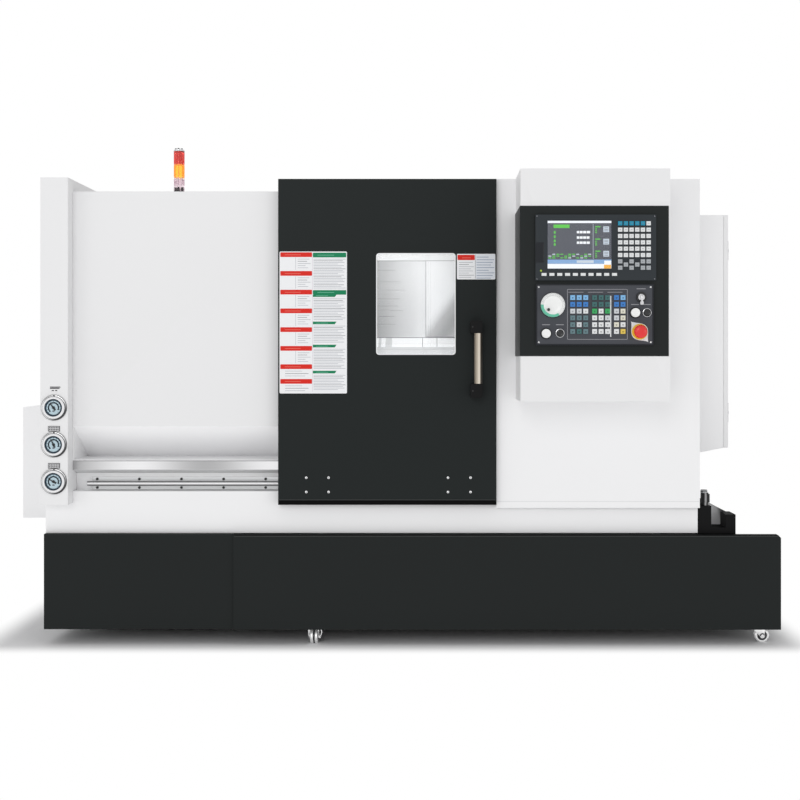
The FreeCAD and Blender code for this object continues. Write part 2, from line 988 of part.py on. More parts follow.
def door_hanger(number, left):
    """Strap over the panel's top edge, with a shoe that hangs in the track."""
    span = (left, left + S.hanger_width)
    middle = panel_y + S.sheet + S.track_depth / 2
    arm_low = roof_z + S.hanger_rise
    arm_top = arm_low + S.hanger_sheet
    half_leg = S.hanger_sheet / 2
    shoe_low = roof_z - S.track_depth + S.sheet + S.shoe_gap
    arm = block(f"hanger_{number}_arm", span, (door_back, middle + half_leg), (arm_low, arm_top))
    leg_span = (middle - half_leg, middle + half_leg)
    leg = block(f"hanger_{number}_leg", span, leg_span, (shoe_low, arm_top))
    shoe = block(
        f"hanger_{number}_shoe",
        span,
        (middle - S.shoe_width / 2, middle + S.shoe_width / 2),
        (shoe_low, shoe_low + S.shoe_height),
    )
    return fuse(f"hanger_{number}", arm, leg, shoe)


# Reference planes of the console
console_left = cover_left + S.console_inset
console_right = console_left + S.console_width
console_top = S.body_height
console_low = console_top - S.console_height
bezel_low = console_low + S.bezel_lift
bezel_left = console_left - S.bezel_sheet
bezel_y = console_y - S.bezel_sheet
plate_y = bezel_y - S.panel_plate
display_x = (bezel_left + S.display_inset, bezel_left + S.display_inset + S.display_width)
display_low = bezel_low + S.display_lift
display_z = (display_low, display_low + S.display_height)
operator_x = (bezel_left + S.operator_inset, bezel_left + S.operator_inset + S.operator_width)
operator_low = bezel_low + S.operator_lift
operator_z = (operator_low, operator_low + S.operator_height)


def inset(span, margin):
    return (span[0] + margin, span[1] - margin)


def unit_cutouts(name):
    """Cutters for the two instrument bodies, through the bezel and the console's front."""
    depth = (bezel_y - PAST, console_y + S.sheet + PAST)
    gap = S.panel_wall - S.seam
    return [
        block(name + "_display_cutter", inset(display_x, gap), depth, inset(display_z, gap)),
        block(name + "_operator_cutter", inset(operator_x, gap), depth, inset(operator_z, gap)),
    ]


def console_box():
    outer = block(
        "console_outer", (console_left, console_right), (console_y, face_y), (console_low, console_top)
    )
    hollow = block(
        "console_hollow",
        (console_left + S.sheet, console_right - S.sheet),
        (console_y + S.sheet, face_y + PAST),
        (console_low + S.sheet, console_top - S.sheet),
    )
    piece("console_box", cut("console_box", outer, hollow, *unit_cutouts("console")))


def console_bezel():
    height = (bezel_low, bezel_low + S.bezel_height)
    front = block("bezel_front", (bezel_left, bezel_left + S.bezel_width), (bezel_y, console_y), height)
    side = block("bezel_side", (bezel_left, console_left), (bezel_y, face_y), height)
    folded = fuse("bezel_fold", front, side)
    piece("console_bezel", cut("console_bezel", folded, *unit_cutouts("bezel")))


def screen_span():
    left = display_x[0] + S.screen_inset
    low = display_z[0] + S.screen_lift
    return (left, left + S.screen_width), (low, low + S.screen_height)


def display_unit():
    plate = block("display_plate", display_x, (plate_y, bezel_y), display_z)
    rear = block(
        "display_rear",
        inset(display_x, S.panel_wall),
        (bezel_y, bezel_y + S.display_body_depth),
        inset(display_z, S.panel_wall),
    )
    span_x, span_z = screen_span()
    recess = block("screen_recess", span_x, (plate_y - PAST, plate_y + S.screen_recess), span_z)
    piece("display_unit", cut("display_unit", fuse("display_body", plate, rear), recess))
    glass = block("screen", span_x, (plate_y + S.screen_step, plate_y + S.screen_recess), span_z)
    piece("screen", glass)


def display_keys():
    """Six columns of eight keys, two of them with a single low key, and a soft-key row."""
    keys = []
    depth = (plate_y - S.key_proud, plate_y)
    for column in range(6):
        left = display_x[0] + S.key_inset + column * S.key_pitch
        rows = LOW_KEY_COLUMN if column in (1, 3) else WHOLE_KEY_COLUMN
        for row in rows:
            low = display_z[0] + S.key_lift + row * S.key_row_pitch
            name = f"key_{column}_{int(2 * row)}"
            keys.append(block(name, (left, left + S.key_width), depth, (low, low + S.key_height)))
    for column in range(10):
        left = display_x[0] + S.soft_key_inset + column * S.soft_key_pitch
        low = display_z[0] + S.soft_key_lift
        span = (left, left + S.soft_key_width)
        keys.append(block(f"soft_key_{column}", span, depth, (low, low + S.soft_key_height)))
    piece("display_keys", group("display_keys", *keys))


def panel_keys():
    """Eight columns of six keys in groups of three, three and two."""
    keys = []
    for column in range(8):
        left = operator_x[0] + S.panel_key_inset + column * S.panel_key_pitch
        left = left + (column // 3) * S.panel_key_gap
        for row in range(6):
            low = operator_z[0] + S.panel_key_lift + row * S.panel_key_row_pitch
            keys.append(
                block(
                    f"panel_key_{column}{row}",
                    (left, left + S.panel_key),
                    (plate_y - S.key_proud, plate_y),
                    (low, low + S.panel_key),
                )
            )
    piece("panel_keys", group("panel_keys", *keys))


def on_panel(inset_x, lift):
    return operator_x[0] + inset_x, operator_z[0] + lift


CONTROLS = {
    "start_button": (on_panel(S.start_inset, S.start_lift), S.large_button_radius),
    "stop_button": (on_panel(S.stop_inset, S.stop_lift), S.small_button_radius),
    "ready_button": (on_panel(S.ready_inset, S.upper_button_lift), S.large_button_radius),
    "power_button": (on_panel(S.power_inset, S.upper_button_lift), S.small_button_radius),
}
ESTOP = on_panel(S.estop_inset, S.estop_lift)
KEY_SWITCH = on_panel(S.keyswitch_inset, S.keyswitch_lift)
HAND_WHEEL = on_panel(S.wheel_inset, S.wheel_lift)


def collar(name, centre, inner, outer):
    start = (centre[0], plate_y - S.collar_proud, centre[1])
    disc = rod(name + "_disc", outer, S.collar_proud, start, ALONG_Y)
    bore_start = (centre[0], plate_y - S.collar_proud - PAST, centre[1])
    bore = rod(name + "_bore", inner, S.collar_proud + PAST, bore_start, ALONG_Y)
    return cut(name, disc, bore)


def stem_hole(name, centre, radius):
    depth = S.panel_plate + S.stem_length + PAST
    return rod(name, radius, depth, (centre[0], plate_y - PAST, centre[1]), ALONG_Y)


def operator_panel():
    plate = block("operator_plate", operator_x, (plate_y, bezel_y), operator_z)
    rear = block(
        "operator_rear",
        inset(operator_x, S.panel_wall),
        (bezel_y, bezel_y + S.operator_body_depth),
        inset(operator_z, S.panel_wall),
    )
    parts = [plate, rear]
    holes = []
    for name, (centre, radius) in CONTROLS.items():
        inner = radius + S.stem_gap
        parts.append(collar(name + "_collar", centre, inner, inner + S.collar_wall))
        holes.append(stem_hole(name + "_hole", centre, S.stem_radius + S.stem_gap))
    parts.append(collar("estop_ring", ESTOP, S.estop_neck + S.stem_gap, S.estop_collar))
    holes.append(stem_hole("estop_hole", ESTOP, S.estop_neck + S.stem_gap))
    key_inner = S.keyswitch_radius + S.stem_gap
    parts.append(collar("switch_ring", KEY_SWITCH, key_inner, key_inner + S.switch_collar_wall))
    holes.append(stem_hole("switch_hole", KEY_SWITCH, S.stem_radius + S.turning_gap))
    holes.append(stem_hole("wheel_hole", HAND_WHEEL, S.wheel_shaft_radius + S.turning_gap))
    piece("operator_panel", cut("operator_panel", fuse("operator_body", *parts), *holes))


def push_buttons():
    for name, (centre, radius) in CONTROLS.items():
        clear = S.button_travel + S.stem_gap
        front = plate_y - clear - S.button_thickness
        head = rod(name + "_head", radius, S.button_thickness, (centre[0], front, centre[1]), ALONG_Y)
        start = (centre[0], front, centre[1])
        length = S.button_thickness + clear + S.stem_length - S.button_travel
        stem = rod(name + "_stem", S.stem_radius, length, start, ALONG_Y)
        piece(name, fuse(name, head, stem))


def estop_button():
    front = console_y - S.knob_reach
    start = (ESTOP[0], front, ESTOP[1])
    head = rod("estop_head", S.estop_radius, S.estop_thickness, start, ALONG_Y)
    length = plate_y + S.stem_length - S.estop_travel - front
    neck = rod("estop_neck_rod", S.estop_neck, length, start, ALONG_Y)
    piece("estop_button", fuse("estop_button", head, neck))


def key_switch():
    """Key barrel with its grip, which turns in the collar."""
    front = plate_y - S.stem_gap - S.keyswitch_thickness
    start = (KEY_SWITCH[0], front, KEY_SWITCH[1])
    barrel = rod("switch_barrel", S.keyswitch_radius, S.keyswitch_thickness, start, ALONG_Y)
    length = S.keyswitch_thickness + S.stem_length
    stem = rod("switch_stem", S.stem_radius, length, start, ALONG_Y)
    half_width = S.key_grip_width / 2
    half_length = S.key_grip_length / 2
    grip = block(
        "switch_grip",
        (KEY_SWITCH[0] - half_width, KEY_SWITCH[0] + half_width),
        (front - S.key_grip_reach, front),
        (KEY_SWITCH[1] - half_length, KEY_SWITCH[1] + half_length),
    )
    piece("key_switch", fuse("key_switch", barrel, stem, grip))


def handwheel():
    back = plate_y - S.stem_gap
    rim_y = back - S.wheel_thickness
    face = rim_y - S.wheel_face_proud
    at = (HAND_WHEEL[0], rim_y, HAND_WHEEL[1])
    rim = rod("wheel_rim", S.wheel_radius, S.wheel_thickness, at, ALONG_Y)
    start = (HAND_WHEEL[0], face, HAND_WHEEL[1])
    length = S.wheel_face_proud + S.wheel_thickness
    disc = rod("wheel_face", S.wheel_face_radius, length, start, ALONG_Y)
    reach = S.wheel_knob_reach + S.wheel_face_proud
    offset = S.wheel_knob_offset / math.sqrt(2)
    knob_at = (HAND_WHEEL[0] - offset, face - S.wheel_knob_reach, HAND_WHEEL[1] - offset)
    knob = rod("wheel_knob", S.wheel_knob_radius, reach, knob_at, ALONG_Y)
    shaft = rod("wheel_shaft", S.wheel_shaft_radius, length + S.stem_length, start, ALONG_Y)
    piece("handwheel", fuse("handwheel", rim, disc, knob, shaft))


def pressure_gauges():
    """Flanged gauges with a recessed dial, held in holes of the column's front."""
    front_y = face_y - S.column_proud
    gauges = []
    for number, (x, z) in enumerate(gauge_places()):
        flange_start = (x, front_y - S.gauge_flange, z)
        flange = rod(f"gauge_{number}_flange", S.gauge_radius, S.gauge_flange, flange_start, ALONG_Y)
        start = (x, front_y - S.gauge_proud, z)
        length = S.gauge_proud + S.gauge_barrel_length
        barrel = rod(f"gauge_{number}_barrel", S.gauge_barrel_radius, length, start, ALONG_Y)
        body = fuse(f"gauge_{number}_body", flange, barrel)
        dial_start = (x, front_y - S.gauge_proud - PAST, z)
        depth = S.gauge_dial_recess + PAST
        dial = rod(f"gauge_{number}_dial", S.gauge_dial_radius, depth, dial_start, ALONG_Y)
        gauges.append(cut(f"gauge_{number}", body, dial))
    piece("pressure_gauges", group("pressure_gauges", *gauges))


def stack_light():
    """Base and cap tied by a central rod, with three lens rings between them."""
    x = body_left + S.light_inset
    y = face_y + S.light_setback
    level = roof_z + S.light_base_height
    parts = [rod("light_base", S.light_radius, S.light_base_height, (x, y, roof_z))]
    lenses = [
        ("stack_lens_clear", S.light_clear_height),
        ("stack_lens_amber", S.light_lens_height),
        ("stack_lens_red", S.light_lens_height),
    ]
    stem_height = S.light_cap_height
    for name, height in lenses:
        ring = rod(name + "_ring", S.light_lens_radius, height, (x, y, level))
        hole_start = (x, y, level - PAST)
        hole_radius = S.light_rod_radius + S.stem_gap
        hole = rod(name + "_hole", hole_radius, height + 2 * PAST, hole_start)
        piece(name, cut(name, ring, hole))
        level = level + height
        stem_height = stem_height + height
    stem_start = (x, y, roof_z + S.light_base_height)
    parts.append(rod("light_rod", S.light_rod_radius, stem_height, stem_start))
    parts.append(rod("light_cap", S.light_radius, S.light_cap_height, (x, y, level)))
    piece("stack_light_base", fuse("stack_light_base", *parts))


# Reference planes of the bed
bed_left = body_left + S.bed_left_inset
bed_right = body_right - S.bed_right_inset
bed_low = S.bed_clearance
bed_top = bed_low + S.bed_height
pedestal_right = bed_left + S.pedestal_width
pedestal_y = face_y + S.pedestal_setback + S.panel_setback
beam_y = face_y + S.beam_setback + S.panel_setback
headstock_right = opening_left - S.headstock_right_inset
headstock_left = headstock_right - S.headstock_length
plinth_left = bed_left + S.plinth_left_inset
plinth_y = face_y + S.plinth_setback + S.panel_setback

cover_step = S.sheet + S.cover_gap
fixed_right = opening_left + S.fixed_cover_width
seam_x = cover_left - S.cover_seam_inset

turret_y = face_y + S.turret_setback
saddle_under = S.cross_level + S.cross_thickness + S.cross_way + S.saddle_thickness
bed_level = saddle_under + S.way_height


def slant_point(along, out):
    """Y and Z of a point in the bed's tilted frame, measured from the turret's axis."""
    return (
        turret_y + along * slant_cos - out * slant_sin,
        S.turret_height + along * slant_sin + out * slant_cos,
    )


def pockets(name, x, y, z, columns, rows):
    """A grid of core pockets that leaves ribs of one wall between them."""
    cutters = []
    wide = (x[1] - x[0] - (columns + 1) * S.bed_wall) / columns
    deep = (y[1] - y[0] - (rows + 1) * S.bed_wall) / rows
    for column in range(columns):
        for row in range(rows):
            left = x[0] + S.bed_wall + column * (wide + S.bed_wall)
            front = y[0] + S.bed_wall + row * (deep + S.bed_wall)
            cutters.append(block(f"{name}_{column}{row}", (left, left + wide), (front, front + deep), z))
    return cutters


def bed_casting():
    """One casting: a pedestal, a rear beam, the headstock plinth and the slanted bed."""
    levels = (bed_low, bed_top)
    core = (bed_low - PAST, bed_top - S.bed_wall)
    pedestal_x = (bed_left, pedestal_right)
    pedestal_span = (pedestal_y, inner_rear)
    pedestal = block("bed_pedestal", pedestal_x, pedestal_span, levels)
    beam = block("bed_beam", (pedestal_right, bed_right), (beam_y, inner_rear), levels)
    plinth_back = plinth_y + S.plinth_depth
    plinth_span = (plinth_left, headstock_right)
    plinth_levels = (bed_top - PAST, S.headstock_seat_height)
    plinth = block("bed_plinth", plinth_span, (plinth_y, plinth_back), plinth_levels)
    crest = bed_low + S.bed_height + S.bed_top_height
    foot = slant_face(bed_top - PAST)
    top = slant_face(crest)
    back_y = inner_rear - S.bed_back_depth
    slab = outline(
        "bed_slope",
        [
            (foot, bed_top - PAST),
            (top, crest),
            (top + S.bed_top_depth, crest),
            (back_y, crest - S.bed_back_drop),
            (back_y, bed_top - PAST),
        ],
        headstock_right,
        bed_right,
    )
    solid = fuse("bed_solid", pedestal, beam, plinth, slab, *bed_ways())
    cores = pockets("pedestal_core", pedestal_x, pedestal_span, core, *PEDESTAL_CORE_COUNT)
    cores += pockets("beam_core", (pedestal_right, bed_right), (beam_y, inner_rear), core, *BEAM_CORE_COUNT)
    cores += slope_cores(crest, back_y)
    bosses = []
    for number, (x, y) in enumerate(foot_centres()):
        half = S.foot_radius
        height = (bed_low, bed_low + S.foot_boss_height)
        bosses.append(block(f"foot_boss_{number}", (x - half, x + half), (y - half, y + half), height))
    piece("bed_casting", fuse("bed_casting", cut("bed_cored", solid, *cores), *bosses))


def slant_face(z):
    """Y of the bed's slanted face at a height."""
    edge_y, edge_z = slant_point(Size(0), -bed_level)
    return edge_y + (z - edge_z) * slant_cos / slant_sin


def slope_cores(crest, back_y):
    """Core pockets in the back of the slanted bed, between upright ribs."""
    cutters = []
    wide = (bed_right - headstock_right - (SLOPE_CORE_COUNT + 1) * S.bed_wall) / SLOPE_CORE_COUNT
    low = bed_top
    high = crest - S.bed_back_drop
    for number in range(SLOPE_CORE_COUNT):
        left = headstock_right + S.bed_wall + number * (wide + S.bed_wall)
        cutters.append(
            outline(
                f"slope_core_{number}",
                [
                    (slant_face(low) + 2 * S.bed_wall, low),
                    (slant_face(high) + 2 * S.bed_wall, high),
                    (back_y + PAST, high),
                    (back_y + PAST, low),
                ],
                left,
                left + wide,
            )
        )
    return cutters


def bed_ways():
    """Two box ways on the slanted face, along the bed."""
    ways = []
    for name, along in (("upper", S.way_upper), ("lower", -S.way_lower)):
        edge_y, edge_z = slant_point(along - S.way_width / 2, -bed_level - PAST)
        way = doc.addObject("Part::Box", f"bed_way_{name}")
        bind(way, "Length", bed_right - headstock_right)
        bind(way, "Width", S.way_width)
        bind(way, "Height", S.way_height + PAST)
        tilt = FreeCAD.Rotation(Vector(1, 0, 0), SIZES["slant_angle"])
        place(way, headstock_right, edge_y, edge_z, tilt)
        bind(way, "Placement.Rotation.Angle", S.slant_angle)
        ways.append(way)
    return ways


def foot_centres():
    """Centres of the feet under the bed's corners, its middle and its right end."""
    front_y = pedestal_y + S.front_foot_inset
    back_y = inner_rear - S.foot_inset
    return [
        (bed_left + S.foot_inset, front_y),
        (pedestal_right - S.foot_inset, front_y),
        (bed_left + S.foot_inset, back_y),
        ((pedestal_right + bed_right) / 2, back_y),
        (bed_right - S.foot_inset, back_y),
        (bed_right - S.foot_inset, beam_y + S.foot_inset),
    ]


def levelling_feet():
    """Screwed feet under the bosses of the bed."""
    feet = []
    for number, (x, y) in enumerate(foot_centres()):
        pad = rod(f"foot_{number}_pad", S.foot_radius, S.foot_thickness, (x, y, Size(0)))
        stem = rod(f"foot_{number}_stem", S.foot_stem_radius, bed_low, (x, y, Size(0)))
        feet.append(fuse(f"foot_{number}", pad, stem))
    piece("levelling_feet", group("levelling_feet", *feet))


nose_left = headstock_right
chuck_left = nose_left + S.nose_length
chuck_right = chuck_left + S.chuck_thickness
motor_y = face_y + S.motor_setback
pulley_right = headstock_left - S.spindle_tail / 2
pulley_left = pulley_right - S.pulley_width


def headstock():
    span_y = (spindle_y - S.headstock_width / 2, spindle_y + S.headstock_width / 2)
    levels = (S.headstock_seat_height, S.headstock_seat_height + S.headstock_height)
    casting = block("headstock_block", (headstock_left, headstock_right), span_y, levels)
    start = (headstock_left - PAST, *spindle_at)
    bore = rod(
        "headstock_bore", S.spindle_radius + S.spindle_run, S.headstock_length + 2 * PAST, start, ALONG_X
    )
    piece("headstock", cut("headstock", casting, bore))


def spindle():
    """Hollow spindle with its drive pulley at the rear and a flange at the nose."""
    tail = (pulley_left, *spindle_at)
    nose_start = (nose_left + S.seam, *spindle_at)
    bore_start = (pulley_left - PAST, *spindle_at)
    length = chuck_left - pulley_left
    shaft = rod("spindle_shaft", S.spindle_radius, length, tail, ALONG_X)
    nose = rod("spindle_nose", S.nose_radius, S.nose_length - S.seam, nose_start, ALONG_X)
    pulley = rod("spindle_pulley", S.spindle_pulley_radius, S.pulley_width, tail, ALONG_X)
    bore = rod("spindle_hollow", S.spindle_bore, length + 2 * PAST, bore_start, ALONG_X)
    piece("spindle", cut("spindle", fuse("spindle_solid", shaft, nose, pulley), bore))


def radial_block(name, number, x, radial, width):
    """A block at equal steps round the spindle, from one radius to another."""
    box = doc.addObject("Part::Box", name)
    bind(box, "Length", x[1] - x[0])
    bind(box, "Width", width)
    bind(box, "Height", radial[1] - radial[0])
    angle = JAW_STEP_ANGLE * number
    turn = math.radians(angle)
    across = radial[0] * math.sin(turn) * -1 - width / 2 * math.cos(turn)
    up = radial[0] * math.cos(turn) - width / 2 * math.sin(turn)
    return place(
        box,
        x[0],
        spindle_y + across,
        S.spindle_height + up,
        FreeCAD.Rotation(Vector(1, 0, 0), angle),
    )


def chuck():
    """Chuck body with three radial slots, and its three jaws."""
    disc = rod("chuck_disc", S.chuck_radius, S.chuck_thickness, (chuck_left, *spindle_at), ALONG_X)
    bore_start = (chuck_left - PAST, *spindle_at)
    bore = rod("chuck_hollow", S.chuck_bore, S.chuck_thickness + 2 * PAST, bore_start, ALONG_X)
    slots = []
    for number in range(3):
        slots.append(
            radial_block(
                f"chuck_slot_{number}",
                number,
                (chuck_right - S.jaw_root - S.jaw_gap, chuck_right + PAST),
                (S.chuck_bore / 2, S.chuck_radius + PAST),
                S.jaw_width + 2 * S.jaw_gap,
            )
        )
    piece("chuck_body", cut("chuck_body", disc, bore, *slots))
    for number in range(3):
        jaw = radial_block(
            f"chuck_jaw_{number + 1}",
            number,
            (chuck_right - S.jaw_root, chuck_right + S.jaw_reach),
            (S.jaw_inner, S.jaw_inner + S.jaw_length),
            S.jaw_width,
        )
        piece(f"chuck_jaw_{number + 1}", jaw)


def spindle_motor():
    left = pulley_right + S.spindle_tail / 2
    start = (left, motor_y, S.motor_height)
    barrel = rod("motor_barrel", S.motor_radius, S.motor_length, start, ALONG_X)
    foot = block(
        "motor_foot",
        (left + S.bed_wall, left + S.motor_length - S.bed_wall),
        (motor_y - S.motor_foot_width / 2, motor_y + S.motor_foot_width / 2),
        (bed_top, S.motor_height),
    )
    piece("spindle_motor", fuse("spindle_motor", barrel, foot))
    wheel = rod(
        "motor_pulley_rim",
        S.motor_pulley_radius,
        S.pulley_width,
        (pulley_left, motor_y, S.motor_height),
        ALONG_X,
    )
    shaft = rod(
        "motor_shaft",
        S.motor_shaft_radius,
        left - S.seam - pulley_left,
        (pulley_left, motor_y, S.motor_height),
        ALONG_X,
    )
    piece("motor_pulley", fuse("motor_pulley", wheel, shaft))


def belt_loop(first, second, distance, width):
    """A closed loop round two circles, as a solid along X, with its first centre at zero."""
    lean = math.asin((first - second) / distance)
    start = Vector(0, 0, 0)
    across = Vector(0, 1, 0)
    tilt = math.pi / 2 - lean
    arcs = []
    for centre, radius, low, high in (
        (start, first, tilt, 2 * math.pi - tilt),
        (start + across * distance, second, -tilt, tilt),
    ):
        points = [
            centre + Vector(0, radius * math.cos(angle), radius * math.sin(angle))
            for angle in (low, (low + high) / 2, high)
        ]
        arcs.append((Part.Arc(*points).toShape(), points))
    upper = Part.makeLine(arcs[0][1][0], arcs[1][1][2])
    lower = Part.makeLine(arcs[0][1][2], arcs[1][1][0])
    wire = Part.Wire(Part.__sortEdges__([arcs[0][0], upper, arcs[1][0], lower]))
    return Part.Face(wire).extrude(Vector(width, 0, 0))


def drive_belt():
    """Flat belt round both pulleys, a running gap clear of each rim."""
    first = S.spindle_pulley_radius.number + S.belt_gap.number
    second = S.motor_pulley_radius.number + S.belt_gap.number
    step_y = (motor_y - spindle_y).number
    step_z = (S.motor_height - S.spindle_height).number
    distance = math.hypot(step_y, step_z)
    thick = S.belt_thickness.number
    width = S.pulley_width.number
    outer = belt_loop(first + thick, second + thick, distance, width)
    inner = belt_loop(first, second, distance, width)
    belt = doc.addObject("Part::Feature", "drive_belt")
    belt.Shape = outer.cut(inner)
    angle = math.degrees(math.atan2(step_z, step_y))
    belt.Placement = FreeCAD.Placement(
        Vector(pulley_left.number, spindle_y.number, S.spindle_height.number),
        FreeCAD.Rotation(Vector(1, 0, 0), angle),
    )
    piece("drive_belt", belt)


# Reference planes of the saddle and turret, in the tilted frame
disc_left = cover_left - S.turret_inset
disc_right = disc_left + S.disc_thickness
housing_left = disc_right + S.seam
housing_right = housing_left + S.housing_length
saddle_left = disc_left - S.saddle_inset
saddle_right = saddle_left + S.saddle_width


def on_slant(target):
    """Tilt a piece that was drawn about the turret's axis into its place on the bed."""
    place(
        target,
        Size(0),
        turret_y,
        S.turret_height,
        FreeCAD.Rotation(Vector(1, 0, 0), SIZES["slant_angle"]),
    )
    bind(target, "Placement.Rotation.Angle", S.slant_angle)
    return target


def saddle():
    """Carriage plate on the bed's ways, with cross ways in front and arms to the cover."""
    span = (saddle_left, saddle_right)
    way_side = S.way_width / 2 + S.slide_gap
    lower_end = -S.way_lower - way_side - S.gib_width
    reach = (lower_end, S.saddle_upper_reach)
    plate_low = -saddle_under + S.slide_gap
    plate_top = plate_low + S.saddle_thickness
    parts = [block("saddle_plate", span, reach, (plate_low, plate_top))]
    for name, along in (("upper", S.way_upper), ("lower", -S.way_lower)):
        for side, low in (("above", along + way_side), ("below", along - way_side - S.gib_width)):
            depth = (plate_low - S.way_height / 2, plate_low)
            parts.append(block(f"saddle_gib_{name}_{side}", span, (low, low + S.gib_width), depth))
    for number in range(2):
        left = saddle_left + (number + 1) * S.saddle_width / 3 - S.cross_way_width / 2
        parts.append(
            block(
                f"saddle_cross_way_{number}",
                (left, left + S.cross_way_width),
                reach,
                (plate_top, plate_top + S.cross_way - S.slide_gap),
            )
        )
    cover_out = cover_level() + S.sheet
    for number, left in enumerate((saddle_left, saddle_right - S.arm_width)):
        parts.append(
            block(
                f"saddle_arm_{number}",
                (left, left + S.arm_width),
                (lower_end, lower_end + S.arm_depth),
                (plate_top, -cover_out - S.slide_gap),
            )
        )
    piece("saddle", on_slant(fuse("saddle", *parts)))


def cover_level():
    """Distance of the moving cover's steep face behind the turret's axis."""
    edge_y, edge_z = cover_outline(2 * cover_step, roof_z, shelf_under)[3]
    return (edge_y - turret_y) * slant_sin - (edge_z - S.turret_height) * slant_cos


def cross_slide():
    """Slide plate on the saddle's ways with the turret housing on it."""
    half = S.cross_half_length
    low = -S.cross_level - S.cross_thickness + S.slide_gap
    margin = S.arm_width + S.slide_gap
    span = (saddle_left + margin, saddle_right - margin)
    plate = block("cross_plate", span, (-half, half), (low, -S.cross_level))
    housing = block(
        "turret_housing",
        (housing_left, housing_right),
        (-S.housing_half_width, S.housing_half_width),
        (-S.cross_level, S.housing_front),
    )
    hub = rod(
        "hub_bore",
        S.hub_radius + S.spindle_run,
        S.hub_length + PAST,
        (housing_left - PAST, Size(0), Size(0)),
        ALONG_X,
    )
    piece("cross_slide", on_slant(cut("cross_slide", fuse("cross_solid", plate, housing), hub)))


def turret_disc():
    """Round indexing disc with flats for the stations, four of them with a tool."""
    disc = rod("turret_round", S.disc_radius, S.disc_thickness, (disc_left, Size(0), Size(0)), ALONG_X)
    hub = rod(
        "turret_hub",
        S.hub_radius,
        S.disc_thickness + S.hub_length - S.seam,
        (disc_left, Size(0), Size(0)),
        ALONG_X,
    )
    parts = [disc, hub]
    half = S.tool_size / 2
    for number in range(SIZES["tool_count"]):
        angle = 360 / SIZES["tool_count"] * number
        turn = math.radians(angle)
        tool = doc.addObject("Part::Box", f"turret_tool_{number}")
        bind(tool, "Length", S.tool_reach + S.disc_thickness - S.tool_size)
        bind(tool, "Width", S.tool_size)
        bind(tool, "Height", S.tool_swing - S.disc_radius + half - PAST)
        inner = S.disc_radius - half
        place(
            tool,
            disc_left - S.tool_reach,
            inner * math.sin(turn) * -1 - half * math.cos(turn),
            inner * math.cos(turn) - half * math.sin(turn),
            FreeCAD.Rotation(Vector(1, 0, 0), angle),
        )
        parts.append(tool)
    notches = []
    for number in range(SIZES["station_count"]):
        turn = 2 * math.pi * (number + 0.5) / SIZES["station_count"]
        start = (disc_left - PAST, S.disc_radius * math.cos(turn), S.disc_radius * math.sin(turn))
        length = S.disc_thickness + 2 * PAST
        notches.append(rod(f"turret_notch_{number}", S.notch_radius, length, start, ALONG_X))
    piece("turret_disc", on_slant(cut("turret_disc", fuse("turret_solid", *parts), *notches)))


def cover_fold(name, stage, top, foot, x):
    """One folded stage of the way covers; each stage runs in front of the one before."""
    front = cover_outline(stage * cover_step, top, foot)
    back = [(across + S.sheet, up) for across, up in reversed(front)]
    return outline(name, front + back, x[0], x[1])


def way_cover_fixed():
    """Fixed stage behind the work area and the plate that the spindle nose passes."""
    fixed_x = (opening_left + S.sheet, fixed_right)
    sheet = cover_fold("cover_sheet", 0, roof_under, shelf_under, fixed_x)
    front = cover_outline(Size(0), roof_under, shelf_under)
    track_low = roof_z - S.track_depth
    track_back = panel_y + S.sheet + S.track_depth
    plate = outline(
        "cover_end_plate",
        [
            (panel_y + S.sheet, shelf_under),
            (panel_y + S.sheet, track_low),
            (track_back, track_low),
            (track_back, roof_under),
        ]
        + [(across + S.sheet, up) for across, up in front],
        opening_left,
        opening_left + S.sheet,
    )
    hole = rod(
        "cover_nose_hole",
        S.nose_radius + S.nose_hole_gap,
        S.sheet + 2 * PAST,
        (opening_left - PAST, *spindle_at),
        ALONG_X,
    )
    piece("way_cover_fixed", cut("way_cover_fixed", fuse("cover_fold", sheet, plate), hole))


def way_cover_middle():
    top = roof_under - S.cover_top_gap
    foot = shelf_under + S.cover_top_gap
    span = (fixed_right - S.fixed_cover_lap, seam_x + S.cover_lap)
    piece("way_cover_middle", cover_fold("way_cover_middle", 1, top, foot, span))


def way_cover_moving():
    """Last stage, which travels with the saddle, with a slot for the turret housing."""
    top = roof_under - S.cover_top_gap
    foot = shelf_under + S.cover_top_gap
    sheet = cover_fold("moving_sheet", 2, top, foot, (seam_x, bed_right - S.cover_top_gap))
    slot = block(
        "moving_slot",
        (housing_left - S.cover_slot_gap, housing_right + S.cover_slot_gap),
        (turret_y, rear_y),
        (S.turret_height - S.cover_slot_below, S.turret_height + S.cover_slot_above),
    )
    piece("way_cover_moving", cut("way_cover_moving", sheet, slot))


def caster_centres():
    """Swivel axes of the four casters: front left, front right, rear left, rear right."""
    left = tank_left + S.caster_left_inset
    right = tank_right - S.caster_right_inset
    front = face_y - S.tank_front_proud + S.caster_setback
    back = face_y - S.tank_front_proud + S.tank_depth - S.caster_setback
    return [(left, front), (right, front), (left, back), (right, back)]


